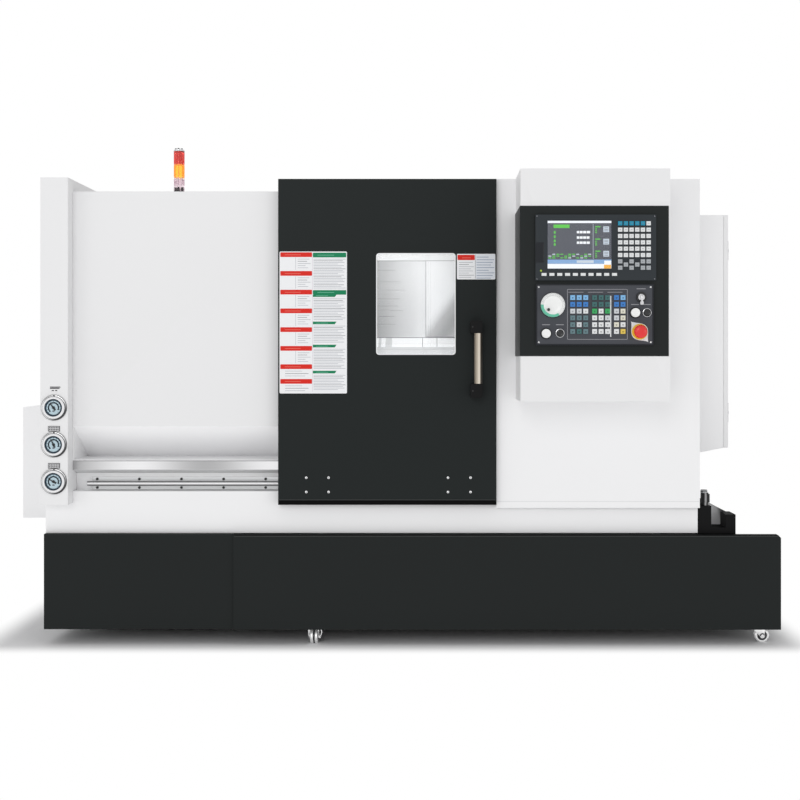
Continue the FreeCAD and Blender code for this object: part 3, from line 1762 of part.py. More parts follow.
def caster_parts(name, centre, along_x):
    """Fork and wheel of one caster, trailing along X or towards the operator."""
    x, y = centre
    head_top = bed_low - S.caster_plate_thickness - S.caster_gap
    head_low = head_top - S.caster_head_height
    axle_z = S.caster_wheel_radius + S.caster_floor_gap
    half = S.caster_wheel_width / 2
    inner = half + S.caster_side_gap
    outer = inner + S.caster_cheek
    rear = S.caster_trail + S.caster_cheek_lap
    head = rod(name + "_head", S.caster_head_radius, S.caster_head_height, (x, y, head_low))
    parts = [head]
    levels = (axle_z - S.caster_cheek_lap, head_low)
    for side, (low, high) in (("a", (-outer, -inner)), ("b", (inner, outer))):
        if along_x:
            parts.append(block(f"{name}_cheek_{side}", (x, x + rear), (y + low, y + high), levels))
        else:
            parts.append(block(f"{name}_cheek_{side}", (x + low, x + high), (y - rear, y), levels))
    turn = ALONG_Y if along_x else ALONG_X
    if along_x:
        axle_start = (x + S.caster_trail, y - outer, axle_z)
        wheel_start = (x + S.caster_trail, y - half, axle_z)
        bore_start = (x + S.caster_trail, y - half - PAST, axle_z)
    else:
        axle_start = (x - outer, y - S.caster_trail, axle_z)
        wheel_start = (x - half, y - S.caster_trail, axle_z)
        bore_start = (x - half - PAST, y - S.caster_trail, axle_z)
    parts.append(rod(name + "_axle", S.caster_axle_radius, 2 * outer, axle_start, turn))
    tyre = rod(name + "_tyre", S.caster_wheel_radius, S.caster_wheel_width, wheel_start, turn)
    bore_radius = S.caster_axle_radius + S.turning_gap
    bore = rod(name + "_bore", bore_radius, S.caster_wheel_width + 2 * PAST, bore_start, turn)
    return fuse(name + "_fork", *parts), cut(name + "_wheel", tyre, bore)


def coolant_tank():
    """Long tank behind a taller front sheet, with a rim round its mouth and a deck at its right end."""
    front = face_y - S.tank_front_proud
    back = front + S.tank_depth
    outer = block("tank_outer", (tank_left, tank_right), (front, back), (bed_low, S.tank_top))
    hollow = block(
        "tank_hollow",
        (tank_left + S.sheet, tank_right - S.sheet),
        (front + S.sheet, back - S.sheet),
        (bed_low + S.sheet, S.tank_top - S.sheet),
    )
    mouth = block(
        "tank_mouth",
        (tank_left + S.tank_rim, tank_right - S.tank_deck),
        (front + S.tank_rim, back - S.tank_rim),
        (S.tank_top - S.sheet - PAST, S.tank_top + PAST),
    )
    vessel = cut("tank_vessel", outer, hollow, mouth)
    levels = (S.skirt_clearance, S.tank_front_height)
    flange_levels = (S.tank_front_height - S.sheet, S.tank_front_height)
    return_x = (tank_right - S.sheet, tank_right)
    sheet = outline(
        "tank_front",
        [
            (tank_left, levels[0]),
            (tank_right, levels[0]),
            (tank_right, levels[1] - S.tank_corner),
            (tank_right - S.tank_corner, levels[1]),
            (tank_left, levels[1]),
        ],
        front,
        front + S.sheet,
        "XZ_Plane",
    )
    flange_x = (tank_left, tank_right - S.tank_corner)
    return_levels = (levels[0], levels[1] - S.tank_corner)
    parts = [
        vessel,
        sheet,
        block("tank_flange", flange_x, (front, front + S.tank_flange), flange_levels),
        block("tank_return", return_x, (front, front + S.tank_return), return_levels),
    ]
    half = S.caster_plate / 2
    casters = []
    for number, (x, y) in enumerate(caster_centres()):
        low = bed_low - S.caster_plate_thickness
        span_x, span_y = (x - half, x + half), (y - half, y + half)
        parts.append(block(f"caster_plate_{number}", span_x, span_y, (low, bed_low)))
        casters.append(caster_parts(f"caster_{number}", (x, y), number != 0))
    for number in (2, 3):
        x, y = caster_centres()[number]
        start = (x, y, bed_low - 2 * S.caster_plate_thickness)
        king_pin = rod(f"king_pin_{number}", S.caster_axle_radius, 2 * S.caster_plate_thickness, start)
        parts += [casters[number][0], king_pin]
    wheels = [
        weld_wheel(number, casters[number][1], caster_centres()[number]) for number in (2, 3)
    ]
    piece("coolant_tank", fuse("coolant_tank", *parts, *wheels))
    for number, side in ((0, "left"), (1, "right")):
        piece(f"caster_fork_{side}", casters[number][0])
        piece(f"caster_wheel_{side}", casters[number][1])


def weld_wheel(number, wheel, centre):
    """Join a rear wheel to its axle, which the tank carries with no joint of its own."""
    x, y = centre
    half = S.caster_wheel_width / 2
    start = (x + S.caster_trail, y - half, S.caster_wheel_radius + S.caster_floor_gap)
    radius = S.caster_axle_radius + 2 * S.turning_gap
    key = rod(f"rear_wheel_key_{number}", radius, S.caster_wheel_width, start, ALONG_Y)
    return fuse(f"rear_wheel_{number}", wheel, key)


def coolant_pump():
    """Immersion pump that stands on the tank's floor."""
    x = tank_right - S.pump_inset
    y = face_y + S.pump_setback
    floor = bed_low + S.sheet
    piece("coolant_pump", rod("coolant_pump", S.pump_radius, S.pump_height, (x, y, floor)))


def anchor_bracket():
    """Bracket from the bed's right end: a boss, an end wall and a sloping gusset on one plate."""
    low = S.tank_front_height + S.anchor_gap
    start = body_right + S.anchor_gap
    end = start + S.anchor_reach
    front = face_y + S.anchor_setback
    back = front + S.anchor_width
    levels = (low, low + S.anchor_floor)
    boss_x = (start, start + S.anchor_boss_width)
    wall_x = (end - S.anchor_wall_width, end)
    gusset = outline(
        "anchor_gusset",
        [
            (start, low),
            (end, low),
            (end, low + S.anchor_gusset_end),
            (start, low + S.anchor_gusset_height),
        ],
        back - S.anchor_gusset_thickness,
        back,
        "XZ_Plane",
    )
    parts = [
        block("anchor_plate", (start, end), (front, back), levels),
        block("anchor_arm", (bed_right - S.bed_wall, end), (back - PAST, beam_y), levels),
        block("anchor_boss", boss_x, (front, front + S.anchor_boss_width), (low, low + S.anchor_boss_height)),
        block("anchor_wall", wall_x, (front, back), (low, low + S.anchor_wall_height)),
        gusset,
    ]
    piece("anchor_bracket", fuse("anchor_bracket", *parts))


base_skirt()
lower_front_panel()
left_front_panel()
left_end_cover()
right_cover()
rear_cover()
side_box()
electrical_cabinet()
rail_hood()
door_rail()
upper_door_track()
front_door()
door_handle()
door_bearing_blocks()
console_box()
console_bezel()
display_unit()
display_keys()
operator_panel()
panel_keys()
push_buttons()
estop_button()
key_switch()
handwheel()
pressure_gauges()
stack_light()
bed_casting()
levelling_feet()
headstock()
spindle()
chuck()
spindle_motor()
drive_belt()
saddle()
cross_slide()
turret_disc()
way_cover_fixed()
way_cover_middle()
way_cover_moving()
coolant_tank()
coolant_pump()
anchor_bracket()

doc.recompute()


def check_document():
    """Stop if any object failed to compute or any piece isn't a sound solid."""
    for item in doc.Objects:
        if "Invalid" in item.State or "Error" in item.State:
            raise RuntimeError(f"{item.Label} failed: {item.State}")
    for item in pieces:
        if item.Shape.isNull() or not item.Shape.isValid() or not item.Shape.Solids:
            raise RuntimeError(f"{item.Label} has no sound solid")


check_document()
os.makedirs("parts", exist_ok=True)
for item in pieces:
    item.Shape.exportStep(f"parts/{item.Label}.step")
print(len(pieces), "pieces")
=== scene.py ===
"""CNC turning lathe: finishes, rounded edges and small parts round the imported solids.

Lengths in the tables are millimetres, in the frame of the solids: X to the operator's right, Y away from
the operator, Z up. Helpers turn them into Blender's metres.
"""

import json
import math

import bmesh
import bpy
from mathutils import Matrix, Vector

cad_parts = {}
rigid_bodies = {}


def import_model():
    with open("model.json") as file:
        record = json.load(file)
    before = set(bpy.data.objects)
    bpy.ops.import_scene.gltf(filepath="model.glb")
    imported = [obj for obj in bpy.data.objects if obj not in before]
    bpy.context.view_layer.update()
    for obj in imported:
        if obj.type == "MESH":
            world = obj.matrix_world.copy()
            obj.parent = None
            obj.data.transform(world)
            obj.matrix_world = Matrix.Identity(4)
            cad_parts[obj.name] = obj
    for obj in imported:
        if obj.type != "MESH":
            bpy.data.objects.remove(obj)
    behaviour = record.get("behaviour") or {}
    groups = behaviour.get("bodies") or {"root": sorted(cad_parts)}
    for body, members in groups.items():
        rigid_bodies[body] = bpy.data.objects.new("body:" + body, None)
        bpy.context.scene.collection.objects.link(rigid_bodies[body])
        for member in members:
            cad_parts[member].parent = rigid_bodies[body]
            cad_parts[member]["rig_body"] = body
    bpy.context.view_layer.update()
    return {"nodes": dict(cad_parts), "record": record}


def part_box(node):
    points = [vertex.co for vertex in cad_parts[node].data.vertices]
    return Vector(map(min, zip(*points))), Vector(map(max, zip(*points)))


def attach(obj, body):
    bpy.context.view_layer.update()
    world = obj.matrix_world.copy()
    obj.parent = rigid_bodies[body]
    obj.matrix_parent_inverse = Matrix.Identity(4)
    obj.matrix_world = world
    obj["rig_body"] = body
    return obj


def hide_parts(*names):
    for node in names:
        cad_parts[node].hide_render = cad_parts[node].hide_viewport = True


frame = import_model()
nodes = frame["nodes"]
scene = bpy.context.scene

MM = 0.001
X, Y, Z = Vector((1, 0, 0)), Vector((0, 1, 0)), Vector((0, 0, 1))
TOWARDS_OPERATOR = -Y

# places in millimetres that more than one piece is drawn from
SPINDLE_AXIS, MOTOR_AXIS, TURRET_AXIS = (-180, 925), (330, 700), (-50, 1215)
LEFT_ROOF, RIGHT_ROOF = 1596, 1637


def metres(point):
    """A point or step in millimetres, as a vector in metres."""
    return Vector(point) * MM


def srgb(red, green, blue):
    """A colour given as 0-255 values, as the linear colour that Blender works in."""
    linear = []
    for value in (red, green, blue):
        part = value / 255
        linear.append(part / 12.92 if part <= 0.04045 else ((part + 0.055) / 1.055) ** 2.4)
    return (*linear, 1.0)


# ---------------------------------------------------------------- shared effects


def new_group(name, inputs, outputs):
    """A shader node group with named sockets; inputs are (name, kind, value)."""
    tree = bpy.data.node_groups.new(name, "ShaderNodeTree")
    for label, kind, value in inputs:
        socket = tree.interface.new_socket(label, in_out="INPUT", socket_type=kind)
        if value is not None:
            socket.default_value = value
    for label, kind in outputs:
        tree.interface.new_socket(label, in_out="OUTPUT", socket_type=kind)
    entry = tree.nodes.new("NodeGroupInput")
    leave = tree.nodes.new("NodeGroupOutput")
    return tree, entry, leave


NUMBER, COLOUR, ARROW = "NodeSocketFloat", "NodeSocketColor", "NodeSocketVector"
SURFACE_OUTPUTS = [("Colour", COLOUR), ("Roughness", NUMBER), ("Height", NUMBER)]


def feed(tree, socket, value):
    """Give an input socket a number, or link another node's output to it."""
    if isinstance(value, (int, float)):
        socket.default_value = value
    else:
        tree.links.new(value, socket)


def maths(tree, operation, first, second=None, third=None):
    """A Math node whose inputs are sockets or numbers."""
    node = tree.nodes.new("ShaderNodeMath")
    node.operation = operation
    for index, value in enumerate((first, second, third)):
        if value is not None:
            feed(tree, node.inputs[index], value)
    return node.outputs[0]


def noise(tree, vector, scale, detail=2.0, roughness=0.5):
    """The value of a noise texture; the scale may be a number or a socket."""
    node = tree.nodes.new("ShaderNodeTexNoise")
    node.inputs["Detail"].default_value = detail
    node.inputs["Roughness"].default_value = roughness
    tree.links.new(vector, node.inputs["Vector"])
    feed(tree, node.inputs["Scale"], scale)
    return node.outputs["Fac"]


def shaded(tree, colour, factor):
    """A colour made lighter or darker by a factor round 1."""
    node = tree.nodes.new("ShaderNodeVectorMath")
    node.operation = "SCALE"
    tree.links.new(colour, node.inputs[0])
    tree.links.new(factor, node.inputs["Scale"])
    return node.outputs[0]


def around_one(tree, value, amount):
    """1 plus or minus an amount, from a value that runs round one half."""
    centred = maths(tree, "SUBTRACT", value, 0.5)
    doubled = maths(tree, "MULTIPLY", centred, 2.0)
    return maths(tree, "MULTIPLY_ADD", doubled, amount, 1.0)


def varied(tree, value, amount, level):
    """A level that varies with a value that runs round one half, by an amount."""
    return maths(tree, "ADD", level, maths(tree, "MULTIPLY", maths(tree, "SUBTRACT", value, 0.5), amount))


def hand_on(tree, leave, colour, roughness, height):
    """Link a group's three results to its outputs; gives back the group."""
    for label, value in (("Colour", colour), ("Roughness", roughness), ("Height", height)):
        tree.links.new(value, leave.inputs[label])
    return tree


def coat_group():
    """Powder coat or moulded plastic: a fine grain and slow changes of tone."""
    tree, entry, leave = new_group(
        "coat_grain",
        [
            ("Vector", ARROW, None),
            ("Colour", COLOUR, (0.8, 0.8, 0.8, 1)),
            ("Grain", NUMBER, 500.0),
            ("Tone", NUMBER, 0.02),
            ("Roughness", NUMBER, 0.4),
            ("Spread", NUMBER, 0.08),
        ],
        SURFACE_OUTPUTS,
    )
    out = entry.outputs
    grain = noise(tree, out["Vector"], out["Grain"], 3.0)
    slow = noise(tree, out["Vector"], 1.7, 3.0)
    colour = shaded(tree, out["Colour"], around_one(tree, slow, out["Tone"]))
    return hand_on(tree, leave, colour, varied(tree, grain, out["Spread"], out["Roughness"]), grain)


def brushed_group():
    """Brushed or ground metal: fine lines along the stretched vector, and long streaks."""
    tree, entry, leave = new_group(
        "brushed_lines",
        [
            ("Vector", ARROW, None),
            ("Colour", COLOUR, (0.6, 0.6, 0.6, 1)),
            ("Contrast", NUMBER, 0.06),
            ("Roughness", NUMBER, 0.3),
            ("Spread", NUMBER, 0.12),
        ],
        SURFACE_OUTPUTS,
    )
    out = entry.outputs
    lines = noise(tree, out["Vector"], 1.0, 4.0, 0.65)
    streaks = noise(tree, out["Vector"], 0.13, 2.0)
    both = maths(tree, "MULTIPLY_ADD", lines, 0.6, maths(tree, "MULTIPLY", streaks, 0.4))
    colour = shaded(tree, out["Colour"], around_one(tree, both, out["Contrast"]))
    return hand_on(tree, leave, colour, varied(tree, lines, out["Spread"], out["Roughness"]), lines)


def cast_group():
    """Painted casting: a pebbled skin with a few deeper pits."""
    tree, entry, leave = new_group(
        "cast_skin",
        [
            ("Vector", ARROW, None),
            ("Colour", COLOUR, (0.3, 0.3, 0.3, 1)),
            ("Grain", NUMBER, 160.0),
            ("Tone", NUMBER, 0.08),
            ("Roughness", NUMBER, 0.55),
        ],
        SURFACE_OUTPUTS,
    )
    out = entry.outputs
    pebble = noise(tree, out["Vector"], out["Grain"], 4.0, 0.6)
    pits = tree.nodes.new("ShaderNodeTexVoronoi")
    tree.links.new(out["Vector"], pits.inputs["Vector"])
    tree.links.new(maths(tree, "MULTIPLY", out["Grain"], 0.35), pits.inputs["Scale"])
    height = maths(tree, "MULTIPLY_ADD", pits.outputs["Distance"], 0.4, pebble)
    slow = noise(tree, out["Vector"], 4.0, 4.0)
    colour = shaded(tree, out["Colour"], around_one(tree, slow, out["Tone"]))
    return hand_on(tree, leave, colour, varied(tree, pebble, 0.2, out["Roughness"]), height)


def turned_group():
    """Turned metal: fine rings round the X axis of a centred vector."""
    tree, entry, leave = new_group(
        "turned_rings",
        [
            ("Vector", ARROW, None),
            ("Colour", COLOUR, (0.5, 0.5, 0.5, 1)),
            ("Rings", NUMBER, 60.0),
            ("Contrast", NUMBER, 0.05),
            ("Roughness", NUMBER, 0.28),
        ],
        SURFACE_OUTPUTS,
    )
    out = entry.outputs
    split = tree.nodes.new("ShaderNodeSeparateXYZ")
    tree.links.new(out["Vector"], split.inputs[0])
    square = maths(tree, "MULTIPLY", split.outputs["Y"], split.outputs["Y"])
    radius = maths(tree, "SQRT", maths(tree, "MULTIPLY_ADD", split.outputs["Z"], split.outputs["Z"], square))
    along = tree.nodes.new("ShaderNodeCombineXYZ")
    tree.links.new(radius, along.inputs["X"])
    tree.links.new(split.outputs["X"], along.inputs["Y"])
    rings = noise(tree, along.outputs[0], out["Rings"], 3.0, 0.7)
    colour = shaded(tree, out["Colour"], around_one(tree, rings, out["Contrast"]))
    return hand_on(tree, leave, colour, varied(tree, rings, 0.15, out["Roughness"]), rings)


def reflection_band_group():
    """Painted reflection: broad light and dark bands along a bright sheet's length, fixed in its own coordinates."""
    tree, entry, leave = new_group(
        "painted_reflection_bands",
        [
            ("Vector", ARROW, None),
            ("Dark", COLOUR, (0.4, 0.4, 0.4, 1)),
            ("Bright", COLOUR, (0.8, 0.8, 0.8, 1)),
            ("Bands", NUMBER, 0.636),
            ("Shift", NUMBER, 2.21),
        ],
        [("Colour", COLOUR)],
    )
    out = entry.outputs
    wave = tree.nodes.new("ShaderNodeTexWave")
    wave.bands_direction = "X"
    tree.links.new(out["Vector"], wave.inputs["Vector"])
    tree.links.new(out["Bands"], wave.inputs["Scale"])
    tree.links.new(out["Shift"], wave.inputs["Phase Offset"])
    mix = tree.nodes.new("ShaderNodeMix")
    mix.data_type = "RGBA"
    tree.links.new(wave.outputs["Fac"], mix.inputs["Factor"])
    tree.links.new(out["Dark"], mix.inputs["A"])
    tree.links.new(out["Bright"], mix.inputs["B"])
    tree.links.new(mix.outputs["Result"], leave.inputs["Colour"])
    return tree


COAT, BRUSHED, CAST, TURNED, REFLECTION_BANDS = coat_group(), brushed_group(), cast_group(), turned_group(), reflection_band_group()


# ---------------------------------------------------------------- finishes


def new_material(name):
    """A new material, with its tree, its shader and the coordinates of the piece."""
    material = bpy.data.materials.new(name)
    material.use_nodes = True
    tree = material.node_tree
    shader = tree.nodes["Principled BSDF"]
    place = tree.nodes.new("ShaderNodeTexCoord")
    return material, tree, shader, place.outputs["Object"]


def mapped(tree, vector, scale=(1, 1, 1), location=(0, 0, 0)):
    """The coordinates, scaled and moved."""
    node = tree.nodes.new("ShaderNodeMapping")
    node.vector_type = "POINT"
    node.inputs["Location"].default_value = location
    node.inputs["Scale"].default_value = scale
    tree.links.new(vector, node.inputs["Vector"])
    return node.outputs[0]


def textured(tree, shader, group, vector, values, bump):
    """Put a shared effect between the coordinates and the shader, with a bump of a depth in metres."""
    node = tree.nodes.new("ShaderNodeGroup")
    node.node_tree = group
    tree.links.new(vector, node.inputs["Vector"])
    for label, value in values.items():
        node.inputs[label].default_value = value
    tree.links.new(node.outputs["Colour"], shader.inputs["Base Color"])
    tree.links.new(node.outputs["Roughness"], shader.inputs["Roughness"])
    if bump:
        relief = tree.nodes.new("ShaderNodeBump")
        relief.inputs["Strength"].default_value = 1.0
        relief.inputs["Distance"].default_value = bump
        tree.links.new(node.outputs["Height"], relief.inputs["Height"])
        tree.links.new(relief.outputs["Normal"], shader.inputs["Normal"])
    return node


def coated(name, colour, roughness=0.42, grain=420.0, tone=0.015, bump=0.00003, gloss=0.5, coat=0.0):
    """Painted sheet or moulded plastic."""
    material, tree, shader, vector = new_material(name)
    values = {"Colour": srgb(*colour), "Grain": grain, "Tone": tone, "Roughness": roughness}
    textured(tree, shader, COAT, vector, values, bump)
    shader.inputs["Specular IOR Level"].default_value = gloss
    shader.inputs["Coat Weight"].default_value = coat
    shader.inputs["Coat Roughness"].default_value = 0.12
    return material


def brushed(name, colour, along, roughness=0.3, contrast=0.06, bump=0.00001, metal=1.0, density=700.0):
    """Metal with fine lines along one axis."""
    material, tree, shader, vector = new_material(name)
    scale = [density * (0.012 if axis == along else 1.0) for axis in "XYZ"]
    values = {"Colour": srgb(*colour), "Contrast": contrast, "Roughness": roughness}
    textured(tree, shader, BRUSHED, mapped(tree, vector, scale), values, bump)
    shader.inputs["Metallic"].default_value = metal
    return material


def cast(name, colour):
    """Painted casting."""
    material, tree, shader, vector = new_material(name)
    values = {"Colour": srgb(*colour), "Grain": 160.0, "Roughness": 0.5}
    textured(tree, shader, CAST, vector, values, 0.0002)
    return material


def turned(name, colour, axis):
    """Turned metal whose rings run round a line along X, through (y, z) in millimetres."""
    material, tree, shader, vector = new_material(name)
    centred = mapped(tree, vector, location=tuple(-metres((0, *axis))))
    values = {"Colour": srgb(*colour), "Rings": 900.0, "Contrast": 0.08, "Roughness": 0.28}
    textured(tree, shader, TURNED, centred, values, 0.00001)
    shader.inputs["Metallic"].default_value = 1.0
    return material


def lit(name, colour, strength=1.0):
    """A part of the screen or a lamp that glows in its own colour."""
    material, tree, shader, vector = new_material(name)
    values = {"Colour": tuple(0.15 * part for part in srgb(*colour)[:3]) + (1,), "Roughness": 0.3}
    textured(tree, shader, COAT, vector, values, 0)
    shader.inputs["Emission Color"].default_value = srgb(*colour)
    shader.inputs["Emission Strength"].default_value = strength
    return material


def clear(name, colour, roughness=0.03, transmission=1.0, glow=None, through=0.0):
    """Glass or clear plastic. Shadow and diffuse rays pass, so that what is behind is lit."""
    material, tree, shader, vector = new_material(name)
    values = {"Colour": srgb(*colour), "Grain": 90.0, "Tone": 0.01, "Roughness": roughness, "Spread": 0.02}
    textured(tree, shader, COAT, vector, values, 0.000005)
    shader.inputs["Transmission Weight"].default_value = transmission
    shader.inputs["IOR"].default_value = 1.46
    if glow:
        shader.inputs["Emission Color"].default_value = srgb(*glow[0])
        shader.inputs["Emission Strength"].default_value = glow[1]
    path = tree.nodes.new("ShaderNodeLightPath")
    passing = maths(tree, "MAXIMUM", path.outputs["Is Shadow Ray"], path.outputs["Is Diffuse Ray"])
    open_shader = tree.nodes.new("ShaderNodeBsdfTransparent")
    thinned = [1 - (1 - part) * 0.8 for part in srgb(*colour)[:3]]
    open_shader.inputs["Color"].default_value = (*thinned, 1)
    mix = tree.nodes.new("ShaderNodeMixShader")
    tree.links.new(maths(tree, "MAXIMUM", passing, through), mix.inputs["Fac"])
    tree.links.new(shader.outputs[0], mix.inputs[1])
    tree.links.new(open_shader.outputs[0], mix.inputs[2])
    tree.links.new(mix.outputs[0], tree.nodes["Material Output"].inputs["Surface"])
    return material


def painted_light_ramp(name, stops, across, low, high, roughness, metal=0.0, gloss=0.3):
    """A finish whose colour changes along a direction, between two distances in mm along it; each use here paints
    highlights and shade as a fixed ramp.
    """
    material, tree, shader, vector = new_material(name)
    values = {"Grain": 900.0, "Tone": 0.02, "Roughness": roughness, "Spread": 0.05}
    node = textured(tree, shader, COAT, vector, values, 0.00001)
    dot = tree.nodes.new("ShaderNodeVectorMath")
    dot.operation = "DOT_PRODUCT"
    dot.inputs[1].default_value = Vector(across).normalized()
    tree.links.new(vector, dot.inputs[0])
    span = tree.nodes.new("ShaderNodeMapRange")
    span.inputs["From Min"].default_value = low * MM
    span.inputs["From Max"].default_value = high * MM
    tree.links.new(dot.outputs["Value"], span.inputs["Value"])
    ramp = tree.nodes.new("ShaderNodeValToRGB")
    tree.links.new(span.outputs["Result"], ramp.inputs["Fac"])
    points = ramp.color_ramp.elements
    while len(points) < len(stops):
        points.new(0.5)
    for point, (place, colour) in zip(points, stops):
        point.position = place
        point.color = srgb(*colour)
    tree.links.new(ramp.outputs["Color"], node.inputs["Colour"])
    shader.inputs["Metallic"].default_value = metal
    shader.inputs["Specular IOR Level"].default_value = gloss
    return material


def grey(value):
    """A grey that leans slightly towards blue, as 0-255 values."""
    return (value, value, value + 1)


def greys(*stops):
    """The stops of a grey ramp, given as (place, value)."""
    return [(place, grey(value)) for place, value in stops]


def hood_finish():
    """Bright stainless sheet: brushed along X, over broad bands of light and dark that are painted reflections."""
    material, tree, shader, vector = new_material("hood_stainless")
    scale = [6.0, 800.0, 800.0]
    values = {"Contrast": 0.05, "Roughness": 0.32}
    node = textured(tree, shader, BRUSHED, mapped(tree, vector, scale), values, 0.000008)
    bands = tree.nodes.new("ShaderNodeGroup")
    bands.node_tree = REFLECTION_BANDS
    bands.inputs["Dark"].default_value = srgb(170, 170, 171)
    bands.inputs["Bright"].default_value = srgb(228, 228, 229)
    tree.links.new(vector, bands.inputs["Vector"])
    tree.links.new(bands.outputs["Colour"], node.inputs["Colour"])
    shader.inputs["Metallic"].default_value = 0.9
    return material


def all_of(make, looks):
    """Finishes of one kind; each look holds what its kind takes after the name."""
    return {name: make(name, *look) for name, look in looks.items()}


PAINTS = {
    # colour, roughness, grain, tone, bump, gloss, clear coat
    "body_white": ((235, 235, 236), 0.38, 420.0, 0.015, 0.00003, 0.3),
    # the next two whites are lighter copies of the body's white: painted light that offsets the shade the covers and
    # the left panel's facet take under the lamps; the second also paints the highlight bands on the way covers
    "cover_white": ((241, 241, 242), 0.38, 420.0, 0.015, 0.00003, 0.3),
    "facet_white": ((250, 250, 251), 0.38, 420.0, 0.015, 0.00003, 0.3),
    "skirt_black": ((32, 35, 35), 0.42, 520.0, 0.05, 0.00004, 0.1),
    "door_black": ((32, 36, 36), 0.42, 520.0, 0.05, 0.00004, 0.1),
    # painted shade: a darker black for the faces of the tank and anchor bracket that look up, the door's lower lip and
    # the strip in the seam under the lower panel
    "lip_black": ((9, 9, 9), 0.6, 520.0, 0.04, 0.00004, 0.05),
    # painted highlight: a lighter line along the rolled edges of the tank and the door
    "edge_black": ((62, 64, 64), 0.3, 520.0, 0.03, 0.00002, 0.3),
    "cover_line": ((112, 112, 114), 0.5, 900.0, 0.06, 0.00001, 0.2),
    # painted shade on the way covers' lower faces and on two patches of their fold
    "cover_shade": ((206, 207, 208), 0.5, 300.0, 0.04, 0.00001, 0.2),
    "black_plastic": ((14, 14, 15), 0.4, 900.0, 0.03, 0.00004, 0.12),
    "bezel_black": ((35, 38, 38), 0.42, 520.0, 0.03, 0.00003, 0.1),
    "unit_plastic": ((45, 50, 54), 0.5, 900.0, 0.03, 0.00004, 0.2),
    "unit_dark": ((36, 38, 42), 0.5, 900.0, 0.03, 0.00004, 0.15),
    "panel_grey": ((70, 72, 78), 0.5, 900.0, 0.02, 0.00003, 0.2),
    "panel_line": ((160, 160, 165), 0.5, 900.0, 0.02, 0, 0.2),
    "print_grey": ((128, 130, 136), 0.55, 900.0, 0.03, 0, 0.2),
    "print_white": ((226, 228, 230), 0.5, 900.0, 0.02, 0, 0.2),
    "print_black": ((30, 30, 32), 0.5, 900.0, 0.02, 0, 0.2),
    "placard_white": ((238, 239, 241), 0.35, 700.0, 0.01, 0, 0.4),
    "placard_red": ((216, 38, 26), 0.4, 700.0, 0.02, 0, 0.2),
    "placard_green": ((14, 126, 84), 0.4, 700.0, 0.02, 0, 0.2),
    "button_white": ((240, 241, 240), 0.28, 900.0, 0.01, 0.00002, 0.5, 0.3),
    "button_black": ((22, 23, 26), 0.3, 900.0, 0.02, 0.00002, 0.4, 0.3),
    "stop_red": ((226, 28, 30), 0.3, 900.0, 0.02, 0.00002, 0.5, 0.3),
    "ring_yellow": ((240, 190, 50), 0.4, 900.0, 0.02, 0.00002, 0.4),
    "dial_green": ((98, 190, 160), 0.35, 900.0, 0.02, 0, 0.4),
    "dial_blue": ((208, 224, 232), 0.4, 900.0, 0.03, 0, 0.4),
    "dial_ink": ((20, 38, 52), 0.45, 900.0, 0.04, 0, 0.3),
    "bezel_white": ((236, 236, 238), 0.2, 900.0, 0.01, 0.00001, 0.6, 0.5),
    # dark grey of the gauges' name plates and marks; it also paints the shade round each gauge's bezel as two dark
    # rings
    "groove_dark": ((40, 40, 44), 0.3, 900.0, 0.03, 0.00001, 0.4),
    "dial_rim": ((34, 52, 66), 0.35, 900.0, 0.03, 0.00001, 0.3),
    "anchor_black": ((15, 15, 16), 0.5, 520.0, 0.04, 0.00004, 0.1),
    # painted shade: the darker line at the fold above the right cover's lower edge
    "fold_line": ((214, 214, 216), 0.45, 900.0, 0.02, 0.00001, 0.3),
    "seal_white": ((240, 241, 242), 0.4, 900.0, 0.02, 0.00001, 0.4),
    "print_faint": ((226, 230, 236), 0.5, 900.0, 0.02, 0, 0.2),
    "print_steel": ((134, 148, 172), 0.5, 900.0, 0.02, 0, 0.2),
    "print_pink": ((236, 128, 116), 0.5, 900.0, 0.02, 0, 0.2),
    "print_mint": ((120, 190, 164), 0.5, 900.0, 0.02, 0, 0.2),
    "print_pale": ((176, 179, 186), 0.55, 900.0, 0.03, 0, 0.2),
    "print_mauve": ((206, 194, 206), 0.55, 900.0, 0.03, 0, 0.2),
    "screw_black": ((26, 26, 27), 0.4, 900.0, 0.03, 0.00002, 0.4),
    "motor_paint": ((46, 48, 52), 0.42, 300.0, 0.04, 0.00006, 0.4),
    "belt_rubber": ((28, 28, 29), 0.7, 1200.0, 0.05, 0.00008, 0.3),
    "tyre_white": ((222, 223, 224), 0.45, 900.0, 0.02, 0.00003, 0.4),
    "lamp_off": ((240, 170, 166), 0.3, 900.0, 0.02, 0, 0.4),
    "bolt_black": ((34, 34, 35), 0.28, 900.0, 0.04, 0.00002, 0.6),
}

KEY_COLOURS = {
    "key_white": (226, 228, 229),
    "key_grey": (168, 172, 176),
    "key_teal": (28, 140, 172),
    "key_deep": (62, 104, 104),
    "key_sky": (128, 182, 226),
    "key_blue": (62, 124, 196),
    "key_light": (206, 210, 214),
    "key_slate": (98, 124, 130),
    "key_green": (58, 168, 96),
    "key_cream": (222, 220, 204),
    "key_yellow": (226, 196, 88),
}

